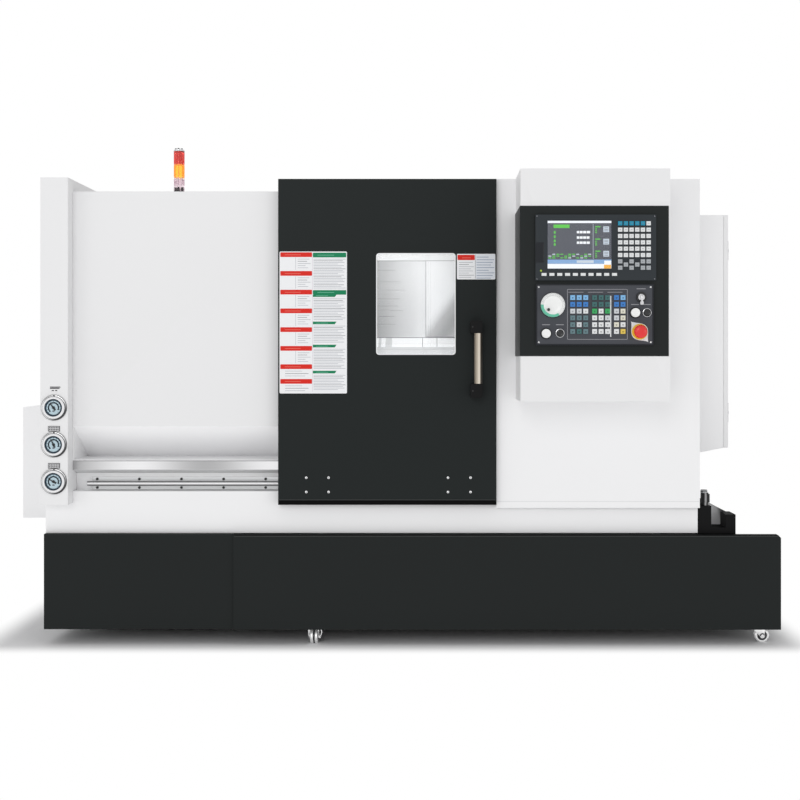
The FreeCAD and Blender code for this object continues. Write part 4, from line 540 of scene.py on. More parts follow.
METALS = {
    # colour, direction of the lines, roughness, contrast, bump, metal, density
    "cover_stainless": ((222, 223, 224), "X", 0.5, 0.16, 0.00002, 0.5, 260.0),
    # painted light: a lighter finish for the hood's downward faces and a line along its lower fold
    "hood_bevel": ((206, 206, 207), "X", 0.5, 0.05, 0.00001, 0.1, 300.0),
    "hood_hem": ((150, 150, 151), "X", 0.4, 0.05, 0.00001, 0.3, 300.0),
    "rail_base": ((205, 206, 207), "X", 0.4, 0.05),
    "chrome": ((212, 212, 214), "Z", 0.12, 0.02, 0.000002),
    "zinc": ((206, 208, 210), "Z", 0.3, 0.06),
    # the next two are lighter than the casters' real steel and tyres: painted light that offsets the shade under the
    # machine
    "caster_silver": ((250, 250, 250), "Z", 0.3, 0.03, 0.00001, 0.75),
    "tyre_bright": ((250, 250, 250), "Z", 0.45, 0.02, 0.00001, 0.6),
    "screw_steel": ((236, 236, 237), "X", 0.22, 0.03),
    "machined": ((176, 178, 182), "X", 0.32, 0.08, 0.00001),
}

# every ramp below paints highlights and shade as fixed bands of colour: reflection and shade on the two way covers, the
# highlight along the rail's shaft, the light and dark chamfers of the door handle's bar, the sheen on the bracket's
# gusset and the bolt's silver streak
PAINTED_LIGHT_RAMPS = {
    # stops, direction, from, to, roughness, metal, gloss
    "cover_streaked": (
        greys((0.0, 176), (0.25, 188), (0.5, 212), (0.72, 226), (0.88, 240), (1.0, 240)),
        (1, 0, 0), -112, 104, 0.45, 0.1,
    ),
    "cover_sheen": (
        greys((0.0, 252), (0.12, 240), (0.3, 188), (0.62, 168), (1.0, 222)),
        (0.8, 0, -0.6), -606, -464, 0.45, 0.1,
    ),
    "rail_steel": (
        greys((0.0, 56), (0.2, 70), (0.36, 214), (0.68, 222), (0.8, 112), (1.0, 120)),
        (0, 0, 1), 555, 571, 0.25, 0.3,
    ),
    "handle_satin": (
        [
            (0.0, (104, 96, 86)), (0.12, (140, 130, 117)), (0.4, (196, 185, 169)), (0.58, (232, 223, 209)),
            (0.68, (214, 203, 188)), (0.76, (74, 68, 61)), (1.0, (52, 48, 44)),
        ],
        (1, 0, 0), 278.5, 306.5, 0.4, 0.1, 0.2,
    ),
    "bracket_sheen": (
        greys((0.0, 252), (0.3, 214), (0.66, 172), (0.8, 96), (1.0, 22)),
        (0.94, 0, 0.34), 1190, 1272, 0.3, 0.0, 0.2,
    ),
    "bolt_sheen": (
        greys((0.0, 16), (0.5, 24), (0.56, 150), (0.7, 176), (0.76, 20), (1.0, 24)),
        (1, 0, 0), 1082, 1112, 0.28, 0.2, 0.4,
    ),
}

GLASSES = {
    # colour, roughness, transmission, glow, share of the light that goes straight through
    "window_glass": ((246, 247, 247), 0.02, 1.0, None, 0.88),
    "gauge_glass": ((246, 249, 250), 0.02, 1.0, None, 0.9),
    "screen_cover": ((250, 251, 252), 0.02, 1.0, None, 0.8),
    "lens_clear": ((246, 238, 241), 0.1, 0.95, None, 0.8),
    "lens_amber": ((252, 206, 130), 0.12, 0.8, ((250, 170, 60), 0.3), 0.55),
    # the red lens's lamp is off; its faint glow is painted light
    "lens_red": ((242, 156, 150), 0.12, 0.8, ((230, 96, 84), 0.14), 0.5),
}

GLOWING = {
    # colour, strength
    "lamp_core": ((255, 240, 130), 1.35),
    "lit_navy": ((28, 38, 66),),
    "lit_white": ((240, 242, 246),),
    "lit_grey": ((80, 82, 90),),
    "lit_green": ((92, 196, 72),),
    "lit_blue": ((128, 164, 206),),
    "lit_orange": ((238, 172, 66),),
    "lit_pale": ((196, 206, 216),),
    "lit_lime": ((150, 176, 40),),
}

TURNED_METALS = {
    "turned_spindle": ((168, 170, 174), SPINDLE_AXIS),
    "turned_motor": ((160, 162, 166), MOTOR_AXIS),
    "turned_turret": ((150, 152, 157), TURRET_AXIS),
}

FINISH = {
    "hood_stainless": hood_finish(),
    "cast_green": cast("cast_green", (120, 128, 126)),
    **all_of(coated, PAINTS),
    **all_of(coated, {name: (colour, 0.42, 900.0, 0.02, 0.00002, 0.3) for name, colour in KEY_COLOURS.items()}),
    **all_of(brushed, METALS),
    **all_of(painted_light_ramp, PAINTED_LIGHT_RAMPS),
    **all_of(clear, GLASSES),
    **all_of(lit, GLOWING),
    **all_of(turned, TURNED_METALS),
}

SLOT_FINISH = {
    "white_paint": "body_white",
    "black_paint": "skirt_black",
    "stainless": "cover_stainless",
    "rail_metal": "rail_base",
    "window_glass": "window_glass",
    "handle_metal": "handle_satin",
    "black_plastic": "black_plastic",
    "unit_plastic": "unit_plastic",
    "panel_paint": "panel_grey",
    "screen_glass": "gauge_glass",
    "key_plastic": "key_white",
    "white_plastic": "button_white",
    "red_plastic": "stop_red",
    "switch_metal": "chrome",
    "gauge_metal": "chrome",
    "lens_clear": "lens_clear",
    "lens_amber": "lens_amber",
    "lens_red": "lens_red",
    "cast_bed": "cast_green",
    "foot_steel": "zinc",
    "machined_steel": "machined",
    "motor_paint": "motor_paint",
    "belt_rubber": "belt_rubber",
    "caster_steel": "zinc",
    "caster_tyre": "tyre_white",
}


# ---------------------------------------------------------------- shapes


def corners(low, high):
    """The low and high corner of a box as vectors in metres, whichever way round they were given."""
    first, second = metres(low), metres(high)
    return Vector(map(min, first, second)), Vector(map(max, first, second))


def paint(faces, finish):
    """Give the faces one of the piece's finishes, by its place in the list."""
    for face in faces:
        face.material_index = finish


def faces_of(vertices):
    """Every face that touches one of the vertices."""
    return list({face for vertex in vertices for face in vertex.link_faces})


def add_box(shape, low, high, finish=0):
    """A box between two corners; gives back its vertices."""
    low, high = corners(low, high)
    made = bmesh.ops.create_cube(shape, size=1.0)["verts"]
    bmesh.ops.scale(shape, vec=high - low, verts=made)
    bmesh.ops.translate(shape, vec=(low + high) / 2, verts=made)
    paint(faces_of(made), finish)
    return made


def rounded(shape, vertices, width, segments=3, along=None):
    """Bevel the edges among some vertices, or only those that run along one axis."""
    chosen = set(vertices)
    edges = [edge for edge in {e for v in chosen for e in v.link_edges} if set(edge.verts) <= chosen]
    if along is not None:
        edges = [
            edge
            for edge in edges
            if abs((edge.verts[1].co - edge.verts[0].co).normalized().dot(along)) > 0.99
        ]
    made = bmesh.ops.bevel(
        shape,
        geom=edges,
        offset=width * MM,
        offset_type="OFFSET",
        segments=segments,
        profile=0.5,
        affect="EDGES",
        clamp_overlap=True,
        material=-1,
    )
    return [v for v in vertices if v.is_valid] + [v for v in made["verts"] if v.is_valid]


def add_rounded_box(shape, low, high, radius, finish=0, along=None, segments=3):
    """A box with rounded edges: all of them, or those that run along one axis."""
    made = add_box(shape, low, high, finish)
    return rounded(shape, made, radius, segments, along)


def aimed(axis, place):
    """The matrix that takes a shape drawn up Z to an axis and a place in millimetres."""
    turn = Z.rotation_difference(Vector(axis).normalized()).to_matrix().to_4x4()
    return Matrix.Translation(metres(place)) @ turn


def add_rod(shape, start, axis, length, radius, end_radius=None, segments=32, finish=0):
    """A closed cylinder or cone from a start point along an axis."""
    made = bmesh.ops.create_cone(
        shape,
        cap_ends=True,
        cap_tris=False,
        segments=segments,
        radius1=radius * MM,
        radius2=(radius if end_radius is None else end_radius) * MM,
        depth=length * MM,
    )["verts"]
    bmesh.ops.translate(shape, vec=Z * length * MM / 2, verts=made)
    bmesh.ops.transform(shape, matrix=aimed(axis, start), verts=made)
    paint(faces_of(made), finish)
    return made


def add_turned(shape, profile, start, axis, segments=48, finish=0):
    """A profile of (radius, height) points spun once round an axis through a start point."""
    before = set(shape.verts)
    line = [shape.verts.new(metres((radius, 0, height))) for radius, height in profile]
    edges = [shape.edges.new(pair) for pair in zip(line, line[1:])]
    bmesh.ops.spin(
        shape,
        geom=line + edges,
        cent=(0, 0, 0),
        axis=Z,
        dvec=(0, 0, 0),
        angle=2 * math.pi,
        steps=segments,
        use_merge=True,
        use_normal_flip=False,
        use_duplicate=False,
    )
    made = [v for v in shape.verts if v not in before]
    bmesh.ops.remove_doubles(shape, verts=made, dist=1e-7)
    made = [v for v in shape.verts if v not in before]
    bmesh.ops.transform(shape, matrix=aimed(axis, start), verts=made)
    faces = faces_of(made)
    paint(faces, finish)
    bmesh.ops.recalc_face_normals(shape, faces=faces)
    return made


def add_tube(shape, start, axis, length, inner, outer, segments=48, finish=0, round_off=0.0):
    """A ring with square or slightly rounded rims."""
    r = round_off
    profile = [(inner, 0), (outer - r, 0), (outer, r), (outer, length - r), (outer - r, length), (inner, length)]
    return add_turned(shape, profile + [(inner, 0)], start, axis, segments, finish)


def add_frame(shape, low, high, width, radius, finish=0, segments=6):
    """A flat ring with rounded corners in the XZ plane, as thick as its Y span."""
    before = set(shape.verts)
    made = add_box(shape, low, high, finish)
    rounded(shape, made, radius, segments, along=Y)
    body = [v for v in shape.verts if v not in before]
    ends = [face for face in faces_of(body) if abs(face.normal.dot(Y)) > 0.99]
    for end in ends:
        bmesh.ops.inset_region(
            shape, faces=[end], thickness=width * MM, depth=0, use_boundary=True, use_even_offset=True
        )
    rims = [edge for end in ends for edge in end.edges]
    bmesh.ops.delete(shape, geom=ends, context="FACES_ONLY")
    bridged = bmesh.ops.bridge_loops(shape, edges=rims)
    paint(bridged["faces"], finish)
    made = [v for v in shape.verts if v not in before]
    bmesh.ops.recalc_face_normals(shape, faces=faces_of(made))


def turned_about(shape, vertices, centre, axis, angle):
    """Turn some vertices by degrees round an axis through a centre in millimetres."""
    bmesh.ops.rotate(
        shape, verts=vertices, cent=metres(centre), matrix=Matrix.Rotation(math.radians(angle), 3, axis)
    )


def screw_head(shape, place, axis=TOWARDS_OPERATOR, radius=5.0, height=2.6, finish=0, dark=None):
    """A button head with a hexagon socket sunk into it."""
    dome = [(0.0, height), (radius * 0.45, height * 0.97), (radius * 0.8, height * 0.72), (radius, height * 0.2)]
    dome += [(radius, 0.0), (0.0, 0.0)]
    add_turned(shape, dome, place, axis, 20, finish)
    socket = Vector(place) + Vector(axis) * (height * 0.96)
    add_rod(shape, socket, axis, 0.15, radius * 0.45, segments=6, finish=finish if dark is None else dark)


def cut(shape, axis, bound):
    """Cut all faces along the plane that stands across an axis at a distance in millimetres."""
    geometry = [*shape.verts, *shape.edges, *shape.faces]
    bmesh.ops.bisect_plane(shape, geom=geometry, dist=1e-6, plane_co=axis * bound * MM, plane_no=axis)


def rounded_plate(shape, x, z, front, back, radius, finish=0, segments=5):
    """An upright plate with rounded corners, facing the operator."""
    return add_rounded_box(shape, (x[0], front, z[0]), (x[1], back, z[1]), radius, finish, Y, segments)


CREASE = 35


def finished(name, shape, finishes, body, stands_for=(), bevel=0.0, soft=CREASE, segments=2):
    """Turn a drawn shape into a piece of the machine; edges sharper than soft degrees stay sharp."""
    bmesh.ops.recalc_face_normals(shape, faces=shape.faces)
    mesh = bpy.data.meshes.new(name)
    shape.to_mesh(mesh)
    shape.free()
    for finish in finishes:
        mesh.materials.append(FINISH[finish] if isinstance(finish, str) else finish)
    mesh.shade_smooth()
    mesh.set_sharp_from_angle(angle=math.radians(soft))
    piece = bpy.data.objects.new(name, mesh)
    scene.collection.objects.link(piece)
    if bevel:
        round_edges(piece, bevel, segments)
    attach(piece, body)
    if stands_for:
        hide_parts(*stands_for)


def round_edges(piece, width, segments):
    """Round the sharp edges of a piece with a bevel modifier."""
    bevel = piece.modifiers.new("rounded edges", "BEVEL")
    bevel.width = width * MM
    bevel.segments = segments
    bevel.limit_method = "ANGLE"
    bevel.angle_limit = math.radians(CREASE)
    bevel.harden_normals = True
    bevel.miter_outer = "MITER_ARC"


def dressed(node, finishes, width, segments=2, extra=None):
    """A copy of a solid with its edges rounded, and perhaps more parts drawn on it, in its place."""
    shape = bmesh.new()
    shape.from_mesh(nodes[node].data)
    bmesh.ops.remove_doubles(shape, verts=shape.verts, dist=1e-6)
    bmesh.ops.dissolve_limit(
        shape, angle_limit=math.radians(1), use_dissolve_boundaries=False, verts=shape.verts, edges=shape.edges
    )
    paint(shape.faces, 0)
    if extra:
        extra(shape)
    body = nodes[node]["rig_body"]
    finished(node + "_dressed", shape, finishes, body, (node,), width, segments=segments)


SLOT_OF = {part["node"]: part["material_slot"] for part in frame["record"]["subparts"]}


# ---------------------------------------------------------------- sheet metal


def enclosure_sheets():
    """The folded sheets that keep the solids' shapes, with edges rounded as a press brake leaves them."""
    for node, finish, width in [
        ("base_skirt", "skirt_black", 1.2),
        # the lower front panel takes the lighter copy of the white: painted light
        ("lower_front_panel", "cover_white", 1.4),
        ("upper_door_track", "rail_base", 0.8),
        ("console_bezel", "bezel_black", 0.9),
        ("way_cover_fixed", "cover_stainless", 0.8),
        ("door_bearing_blocks", "machined", 1.0),
    ]:
        dressed(node, [finish], width)


def hood():
    """Bright hood over the rail: a hem along its top, and painted light on its downward faces and along its lower fold.
    """
    low, high = (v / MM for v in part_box("rail_hood"))

    def detail(shape):
        shape.normal_update()
        # painted light: the downward faces and a strip at the lower fold take a lighter finish
        paint([face for face in shape.faces if face.normal.z < -0.3], 1)
        add_box(shape, (low.x + 0.5, low.y - 0.9, 643.6), (high.x - 0.5, low.y + 0.3, 645.8), 2)
        add_box(shape, (low.x + 0.5, low.y - 0.5, 612.6), (high.x - 0.5, low.y + 0.3, 614.2), 1)

    dressed("rail_hood", ["hood_stainless", "hood_bevel", "hood_hem"], 0.8, extra=detail)

    closing = bmesh.new()
    add_box(closing, (-1139.5, -540, 537), (-1136.1, -450, 600), 0)
    finished("pocket_end", closing, ["body_white"], "enclosure", bevel=0.4)

    # a black strip in the seam between the lower panel and the tank, where only shade shows: painted shade
    sill = bmesh.new()
    add_box(sill, (940, -507.4, 381), (1205.5, -497, 387.4), 0)
    add_box(sill, (940, -505.5, 387), (1073, -499, 390.4), 0)
    finished("seam_shade_strip", sill, ["lip_black"], "enclosure", bevel=0.4)


LEFT_SIDE = -1232


def left_sheets():
    """Left front panel with its facet, end cover with the bar hole's ring, and the box on the left side."""

    def facet(shape):
        shape.normal_update()
        # painted light: the facet's faces take a lighter white than the panel, against the shade they take under the
        # lamps
        low_faces = [f for f in shape.faces if f.normal.y < -0.2 and f.calc_center_median().z / MM < 766]
        paint(low_faces, 1)

    dressed("left_front_panel", ["body_white", "facet_white"], 1.4, extra=facet)

    def end_details(shape):
        y, z = SPINDLE_AXIS
        add_tube(shape, (LEFT_SIDE - 0.2, y, z), -X, 4, 50.6, 66, 64, 1, 1.0)
        for turn in range(6):
            angle = math.radians(60 * turn)
            place = (LEFT_SIDE - 3.8, y + 58 * math.cos(angle), z + 58 * math.sin(angle))
            screw_head(shape, place, -X, 3.4, 1.8, 1, 2)
        for y in (-530, -120, 340, 765):
            for z in (430, 1040, 1600):
                if y > 320 or z > 1000:
                    screw_head(shape, (LEFT_SIDE + 0.2, y, z), -X, 4.6, 2.2, 1, 2)
        for row in range(12):
            z = 1180 + 22 * row
            made = add_rounded_box(shape, (LEFT_SIDE - 3, 380, z), (LEFT_SIDE + 1, 740, z + 8), 1.2, 0, X, 2)
            turned_about(shape, made, (LEFT_SIDE, 0, z + 4), Y, 20)

    dressed("left_end_cover", ["body_white", "screw_steel", "screw_black"], 1.4, extra=end_details)

    def door_in_box(shape):
        pressed(shape, -X, (-1356, (-345, 271), (455, 800)), 6, 2.6)
        add_rounded_box(shape, (-1355.4, 226, 600), (-1352, 250, 668), 3, 1, X, 3)
        add_rod(shape, (-1355.2, 238, 648), X, 3, 7, segments=24, finish=2)
        for y in (-325, 250):
            for z in (475, 780):
                screw_head(shape, (-1353.2, y, z), -X, 4.0, 1.8, 2, 3)

    # the box's sheet takes the lighter copy of the white: painted light
    finishes = ["cover_white", "black_plastic", "screw_steel", "screw_black"]
    dressed("side_box", finishes, 1.4, extra=door_in_box)


def pressed(shape, outward, field, slope, depth):
    """Press a rectangular field into a flat side: cut its outline, then push it in with a sloping rim."""
    level, first, second = field
    side = 0 if outward.dot(X) else 1
    axes = (Y, Z) if side == 0 else (X, Z)
    for axis, bounds in zip(axes, (first, second)):
        for bound in bounds:
            cut(shape, axis, bound)
    shape.normal_update()
    inside = []
    for face in shape.faces:
        centre = face.calc_center_median() / MM
        across = (centre.y if side == 0 else centre.x, centre.z)
        if (
            face.normal.dot(outward) > 0.999
            and abs(centre[side] - level) < 1
            and first[0] < across[0] < first[1]
            and second[0] < across[1] < second[1]
        ):
            inside.append(face)
    bmesh.ops.inset_region(
        shape, faces=inside, thickness=slope * MM, depth=-depth * MM, use_boundary=True, use_even_offset=True
    )


def right_sheet():
    """Right cover with the two lines of the fold above its lower edge; the upper, darker line is painted shade."""

    def detail(shape):
        for z, height, finish in ((503.4, 1.4, 1), (482, 3, 2)):
            add_box(shape, (359, -527.4, z), (1071, -526.8, z + height), finish)

    # the cover's white is a lighter copy of the body's: painted light against the console's shade
    finishes = ["cover_white", "fold_line", "seal_white"]
    dressed("right_cover", finishes, 1.4, extra=detail)


FAR = 9999
ANYWHERE, FOLD = (-FAR, FAR), (1053, 1088)
# where the way covers' faces take another finish: finish, span of x, span of z; a later row wins. Finish 2 is painted
# highlight, 3 painted shade, 1 dark lines
COVER_PATCHES = (
    (2, ANYWHERE, (1404, FAR)),
    (2, ANYWHERE, FOLD),
    (3, (-84, -73), FOLD),
    (3, (-56, -30), FOLD),
    (3, ANYWHERE, (-FAR, 1051)),
    (1, (91.7, 94.3), FOLD),
    (1, (149.7, 152.3), FOLD),
    (1, (105, 107), (1090, 1402)),
)
COVER_CUTS = (-84, -73, -70, -58.6, -56, -30, 70, 91.7, 94.3, 107, 149.7, 152.3)
# thin lines of reflection on the way covers: left end, height, length
COVER_LINES = (
    (-88, 1362, 70), (-84, 1316, 92), (-60, 1283, 88), (-96, 1247, 96), (-90, 1218, 84), (-82, 1176, 60),
    (-94, 1144, 78), (-40, 1199, 52),
)


def way_covers():
    """The two telescopic covers seen through the window, with the folds and joints of their sheets, and painted
    highlights, shade and reflections on their faces.
    """
    for node, finish in (("way_cover_middle", "cover_streaked"), ("way_cover_moving", "cover_sheen")):
        low, high = (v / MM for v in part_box(node))
        front = high.y - 3
        left, right = max(low.x, -110) + 3, min(high.x, 520) - 3

        def strip(shape, x, z, colour, proud=0.5):
            if x[1] - x[0] > 2:
                add_box(shape, (x[0], front - proud, z[0]), (x[1], front + 0.3, z[1]), colour)

        def detail(shape):
            for bound in COVER_CUTS:
                if low.x < bound < high.x:
                    cut(shape, X, bound)
            for face in shape.faces:
                centre = face.calc_center_median() / MM
                for patch, x, z in COVER_PATCHES:
                    if x[0] < centre.x < x[1] and z[0] < centre.z < z[1]:
                        face.material_index = patch
            strip(shape, (left, right), (1400.4, 1402.6), 1)
            strip(shape, (left, right), (1089.4, 1091.8 if left < 0 else 1094), 1, 0.45)
            for x, z, length in COVER_LINES:
                strip(shape, (max(x, left), min(x + length, 60, right)), (z, z + 1.1), 1, 0.35)
            strip(shape, (max(-30, left), min(-28.6, right)), (1122, 1238), 1, 0.35)

        finishes = [finish, "cover_line", "facet_white", "cover_shade"]
        dressed(node, finishes, 0.3, extra=detail)


def rear_sheet():
    """The rear sheet: two service doors and a louvred field pressed into it, screws and lifting eyes."""
    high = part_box("rear_cover")[1] / MM

    def detail(shape):
        def seam(x, z):
            for low_z, high_z in ((z[0], z[0] + 2.4), (z[1] - 2.4, z[1])):
                add_box(shape, (x[0], high.y - 3, low_z), (x[1], high.y - 2.3, high_z), 3)
            for low_x, high_x in ((x[0], x[0] + 2.4), (x[1] - 2.4, x[1])):
                add_box(shape, (low_x, high.y - 3, z[0]), (high_x, high.y - 2.3, z[1]), 3)

        for low_x in (-1080, -180):
            pressed(shape, Y, (high.y, (low_x, low_x + 760), (430, 1400)), 6, 2.6)
            seam((low_x + 10, low_x + 750), (440, 1390))
            for x in (low_x + 26, low_x + 380, low_x + 734):
                for z in (456, 915, 1374):
                    screw_head(shape, (x, high.y - 2.7, z), Y, 5.0, 2.2, 1, 2)
            for z in (700, 1130):
                latch = (low_x + 690, high.y - 3, z - 34), (low_x + 716, high.y - 0.4, z + 34)
                add_rounded_box(shape, *latch, 3, 2, Y)
        pressed(shape, Y, (high.y, (680, 980), (900, 1300)), 6, 2.6)
        for row in range(22):
            z = 918 + 17 * row
            add_box(shape, (692, high.y - 3, z), (968, high.y - 0.9, z + 3.4), 0)
            add_box(shape, (692, high.y - 3, z + 3.4), (968, high.y - 2.2, z + 8), 2)

    finishes = ["body_white", "screw_steel", "black_plastic", "cover_line"]
    dressed("rear_cover", finishes, 1.4, extra=detail)

    eyes = bmesh.new()
    ring = [(20 + 5.5 * math.cos(math.radians(30 * n)), 5.5 * math.sin(math.radians(30 * n))) for n in range(12)]
    for x, z in ((-1000, LEFT_ROOF), (900, RIGHT_ROOF)):
        for y in (330, 690):
            add_turned(eyes, [(0, 0), (22, 0), (22, 4), (17, 8), (8, 12), (0, 12)], (x, y, z), Z, 32, 0)
            add_turned(eyes, ring + ring[:1], (x, y, z + 32), Y, 40, 0)
    finished("lifting_eyes", eyes, ["zinc"], "enclosure", bevel=0.4)


def tank():
    """Coolant tank, with a rolled edge along the top of its front sheet that carries a painted highlight; painted shade
    darkens the faces that look up.
    """
    low, high = (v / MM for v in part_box("coolant_tank"))

    def detail(shape):
        top = high.z
        shape.normal_update()
        # painted shade on the faces that look up and on a black band below the top; a painted highlight on the rolled
        # edge
        paint([face for face in shape.faces if face.normal.z > 0.6 and face.calc_center_median().z / MM > 370], 2)
        add_box(shape, (low.x + 2, low.y - 0.5, top - 3.4), (high.x - 13, low.y + 0.5, top - 1.6), 2)
        add_rod(shape, (low.x + 3, low.y + 0.3, top - 4.6), X, high.x - low.x - 14, 1.0, segments=12, finish=1)

    dressed("coolant_tank", ["skirt_black", "edge_black", "lip_black"], 1.3, extra=detail)


def cabinet():
    """Cabinet door on the right side: two latches, a handle recess and a louvred field."""
    low, high = (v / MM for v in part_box("cabinet_door"))
    front = high.x

    def detail(shape):
        for z in (low.z + 130, high.z - 130):
            add_rounded_box(shape, (front - 1, low.y + 24, z - 38), (front + 7, low.y + 50, z + 38), 3, 1)
            add_rod(shape, (front + 6, low.y + 37, z), X, 3, 9, segments=24, finish=2)
        for row in range(9):
            z = low.z + 90 + row * 16
            made = add_box(shape, (front - 1, high.y - 420, z), (front + 4.0, high.y - 120, z + 7), 0)
            turned_about(shape, made, (front, 0, z + 3.5), Y, -18)

    dressed("cabinet_door", ["body_white", "black_plastic", "zinc"], 1.4, extra=detail)


# ---------------------------------------------------------------- door

DOOR_FRONT = -543
SCREW_COLUMNS = (-308, -230, 188, 267)
SCREW_ROWS = (589, 539)


def door():
    """Sliding door with its screws and lower lip, the window's seal and its pane; the lip is painted darker as shade
    and a painted highlight runs along its top.
    """

    def detail(shape):
        for x in SCREW_COLUMNS:
            for z in SCREW_ROWS:
                screw_head(shape, (x, DOOR_FRONT + 0.2, z), radius=4.6, height=2.2, finish=1, dark=2)
        left, right = (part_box("front_door")[i].x / MM for i in (0, 1))
        # the lower lip is painted darker as shade, and a lighter rod along its top is a painted highlight
        add_rounded_box(shape, (left + 1, DOOR_FRONT - 1.2, 495), (right - 1, DOOR_FRONT + 1, 510), 0.6, 3, X)
        add_rod(shape, (left + 2, DOOR_FRONT - 0.4, 511.5), X, right - left - 4, 1.1, segments=10, finish=4)

    finishes = ["door_black", "screw_steel", "screw_black", "lip_black", "edge_black"]
    dressed("front_door", finishes, 1.6, extra=detail)

    seal = bmesh.new()
    add_frame(seal, (-69.5, DOOR_FRONT - 0.6, 1013), (220.5, DOOR_FRONT + 2, 1381), 9.0, 16, 1)
    add_frame(seal, (-63.5, DOOR_FRONT - 1.5, 1019), (214.8, DOOR_FRONT + 1, 1375), 3.4, 11, 0)
    finished("window_seal", seal, ["seal_white", "door_black"], "front_door", bevel=0.4)

    low, high = (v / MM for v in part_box("door_window"))
    pane = bmesh.new()
    add_rounded_box(pane, low, high, 1.0, 0, segments=2)
    finished("window_pane", pane, ["window_glass"], "front_door", ("door_window",))


def door_handle():
    """Champagne bar with broad chamfers between two moulded ends; the bar's light and dark are a painted highlight and
    shade across it.
    """
    low, high = (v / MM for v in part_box("door_handle"))
    bar = bmesh.new()
    made = add_box(bar, low, high)
    rounded(bar, made, 6.5, 1, along=Z)
    # painted highlight and shade across the bar
    finished("handle_bar", bar, ["handle_satin"], "front_door", ("door_handle",), 0.8)

    low, high = (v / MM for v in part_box("door_handle_mounts"))
    ends = bmesh.new()
    for foot, top in ((low.z, 919), (1094, high.z)):
        add_rounded_box(ends, (low.x, low.y, foot), (high.x, DOOR_FRONT, top), 6, 0, along=Y, segments=4)
        screw_head(ends, (low.x + 9, low.y - 0.2, (foot + top) / 2), radius=3.4, height=1.6, finish=1)
    finishes = ["black_plastic", "screw_black"]
    finished("handle_ends", ends, finishes, "front_door", ("door_handle_mounts",), 1.2)


def placards():
    """Two plates of plain coloured fields and grey rules, with nothing drawn or written on them."""
    front = DOOR_FRONT - 1.0
    white, red, green, line, pink, mint, pale, mauve, faint, steel = range(10)
    finishes = [
        "placard_white", "placard_red", "placard_green", "print_grey", "print_pink", "print_mint", "print_pale",
        "print_mauve", "print_faint", "print_steel",
    ]

    def field(shape, x, z, finish, level=1.0):
        return add_box(shape, (x[0], front - level * 0.25, z[0]), (x[1], front, z[1]), finish)

    def band(shape, x, z, finish, mark):
        rounded_plate(shape, x, z, front - 0.25, front, 2.5, finish, 3)
        field(shape, (x[0] + 16, x[0] + 16 + 0.5 * (x[1] - x[0])), (z[0] + 7, z[0] + 8.6), mark, 1.5)

    def rules(shape, x, top, foot, pitch=5.6, finish=pale, height=1.7, shrink=(0, 9, 3, 26, 5, 14)):
        row, z = 0, top
        while z - height > foot:
            heavy = line if finish == pale and row % 5 == 1 else finish
            field(shape, (x[0], x[1] - shrink[row % len(shrink)]), (z - height, z), heavy)
            row, z = row + 1, z - pitch

    left = bmesh.new()
    rounded_plate(left, (-401.5, -165.5), (884, 1380.5), front - 0.2, front, 4, white, 4)
    tops = [1377.8, 1312.3, 1246.8, 1181.3, 1115.6, 1050, 986, 934.5]
    for row, top in enumerate(tops):
        foot = tops[row + 1] + 2 if row + 1 < len(tops) else 888
        band(left, (-398.8, -287.6), (top - 16.6, top), red, pink)
        if row < 6:
            field(left, (-345.6, -344.4), (foot + 2, top - 18), pale)
            rules(left, (-338, -293), top - 23, foot + 2, 7.6, shrink=(4, 12, 0, 18, 8))
        else:
            rules(left, (-382, -300), top - 23, foot, 8.5, shrink=(22, 0, 12))
    field(left, (-286.4, -285.4), (890, 1376), mauve)
    greens = [(1376.5, 1360), (1245.5, 1229.5), (1229.5, 1221.6), (1135.5, 1126), (1054.6, 1045), (963.4, 954)]
    for row, (top, foot) in enumerate(greens):
        if row < 2:
            band(left, (-284.8, -168), (foot, top), green, mint)
        else:
            made = field(left, (-284.8, -208), (foot, top), green)
            slanted = [v for v in made if v.co.x / MM > -210 and v.co.z / MM > foot + 1]
            bmesh.ops.translate(left, vec=metres((6, 0, 0)), verts=slanted)
            field(left, (-274, -232), (foot + 3.6, foot + 5.0), mint, 1.5)
        if row != 1:
            below = greens[row + 1][0] if row + 1 < len(greens) else 888
            rules(left, (-282.5, -171), foot - 5.5, below + 3)
    finished("placard_left", left, finishes, "front_door")

    right = bmesh.new()
    rounded_plate(right, (219.1, 353.5), (1283, 1372.3), front - 0.2, front, 3.5, white, 4)
    field(right, (284.5, 352), (1285, 1370.5), faint, 0.9)
    band(right, (221.2, 281.8), (1350.6, 1369), red, pink)
    field(right, (283, 284.2), (1286, 1370), line)
    rules(right, (288, 350), 1362, 1286, 9.2, steel, 2.0, (20, 0, 6, 12, 0))
    rules(right, (226, 279), 1343, 1286, 7.4, pale, 1.7, (4, 18, 0, 10))
    finished("placard_right", right, finishes, "front_door")


# ---------------------------------------------------------------- rail

RAIL_SCREW_PITCH = 150


def rail():
    """Round rail on its base, with the base's two rows of screws."""
    low, high = (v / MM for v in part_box("door_rail"))

    def detail(shape):
        x = low.x + 30
        while x < high.x - 40:
            for z in (577, 546.5):
                add_rod(shape, (x, -464.8, z), TOWARDS_OPERATOR, 4.0, 4.6, segments=20, finish=1)
            x += RAIL_SCREW_PITCH

    dressed("door_rail", ["rail_base", "screw_black"], 0.6, extra=detail)
    shaft = bmesh.new()
    length = high.x - low.x
    profile = [(0, 0), (7.2, 0), (8.15, 1.0), (8.15, length - 1), (7.2, length), (0, length)]
    add_turned(shaft, profile, (low.x - 0.1, -485, 563), X, 40)
    # the shaft's light and dark bands are a painted highlight along it
    finished("rail_shaft", shaft, ["rail_steel"], "enclosure")


# ---------------------------------------------------------------- console

# distances from front to back on the console: the unit's and panel's face, and the key tops'
UNIT_FRONT, KEY_FRONT = -768, -772


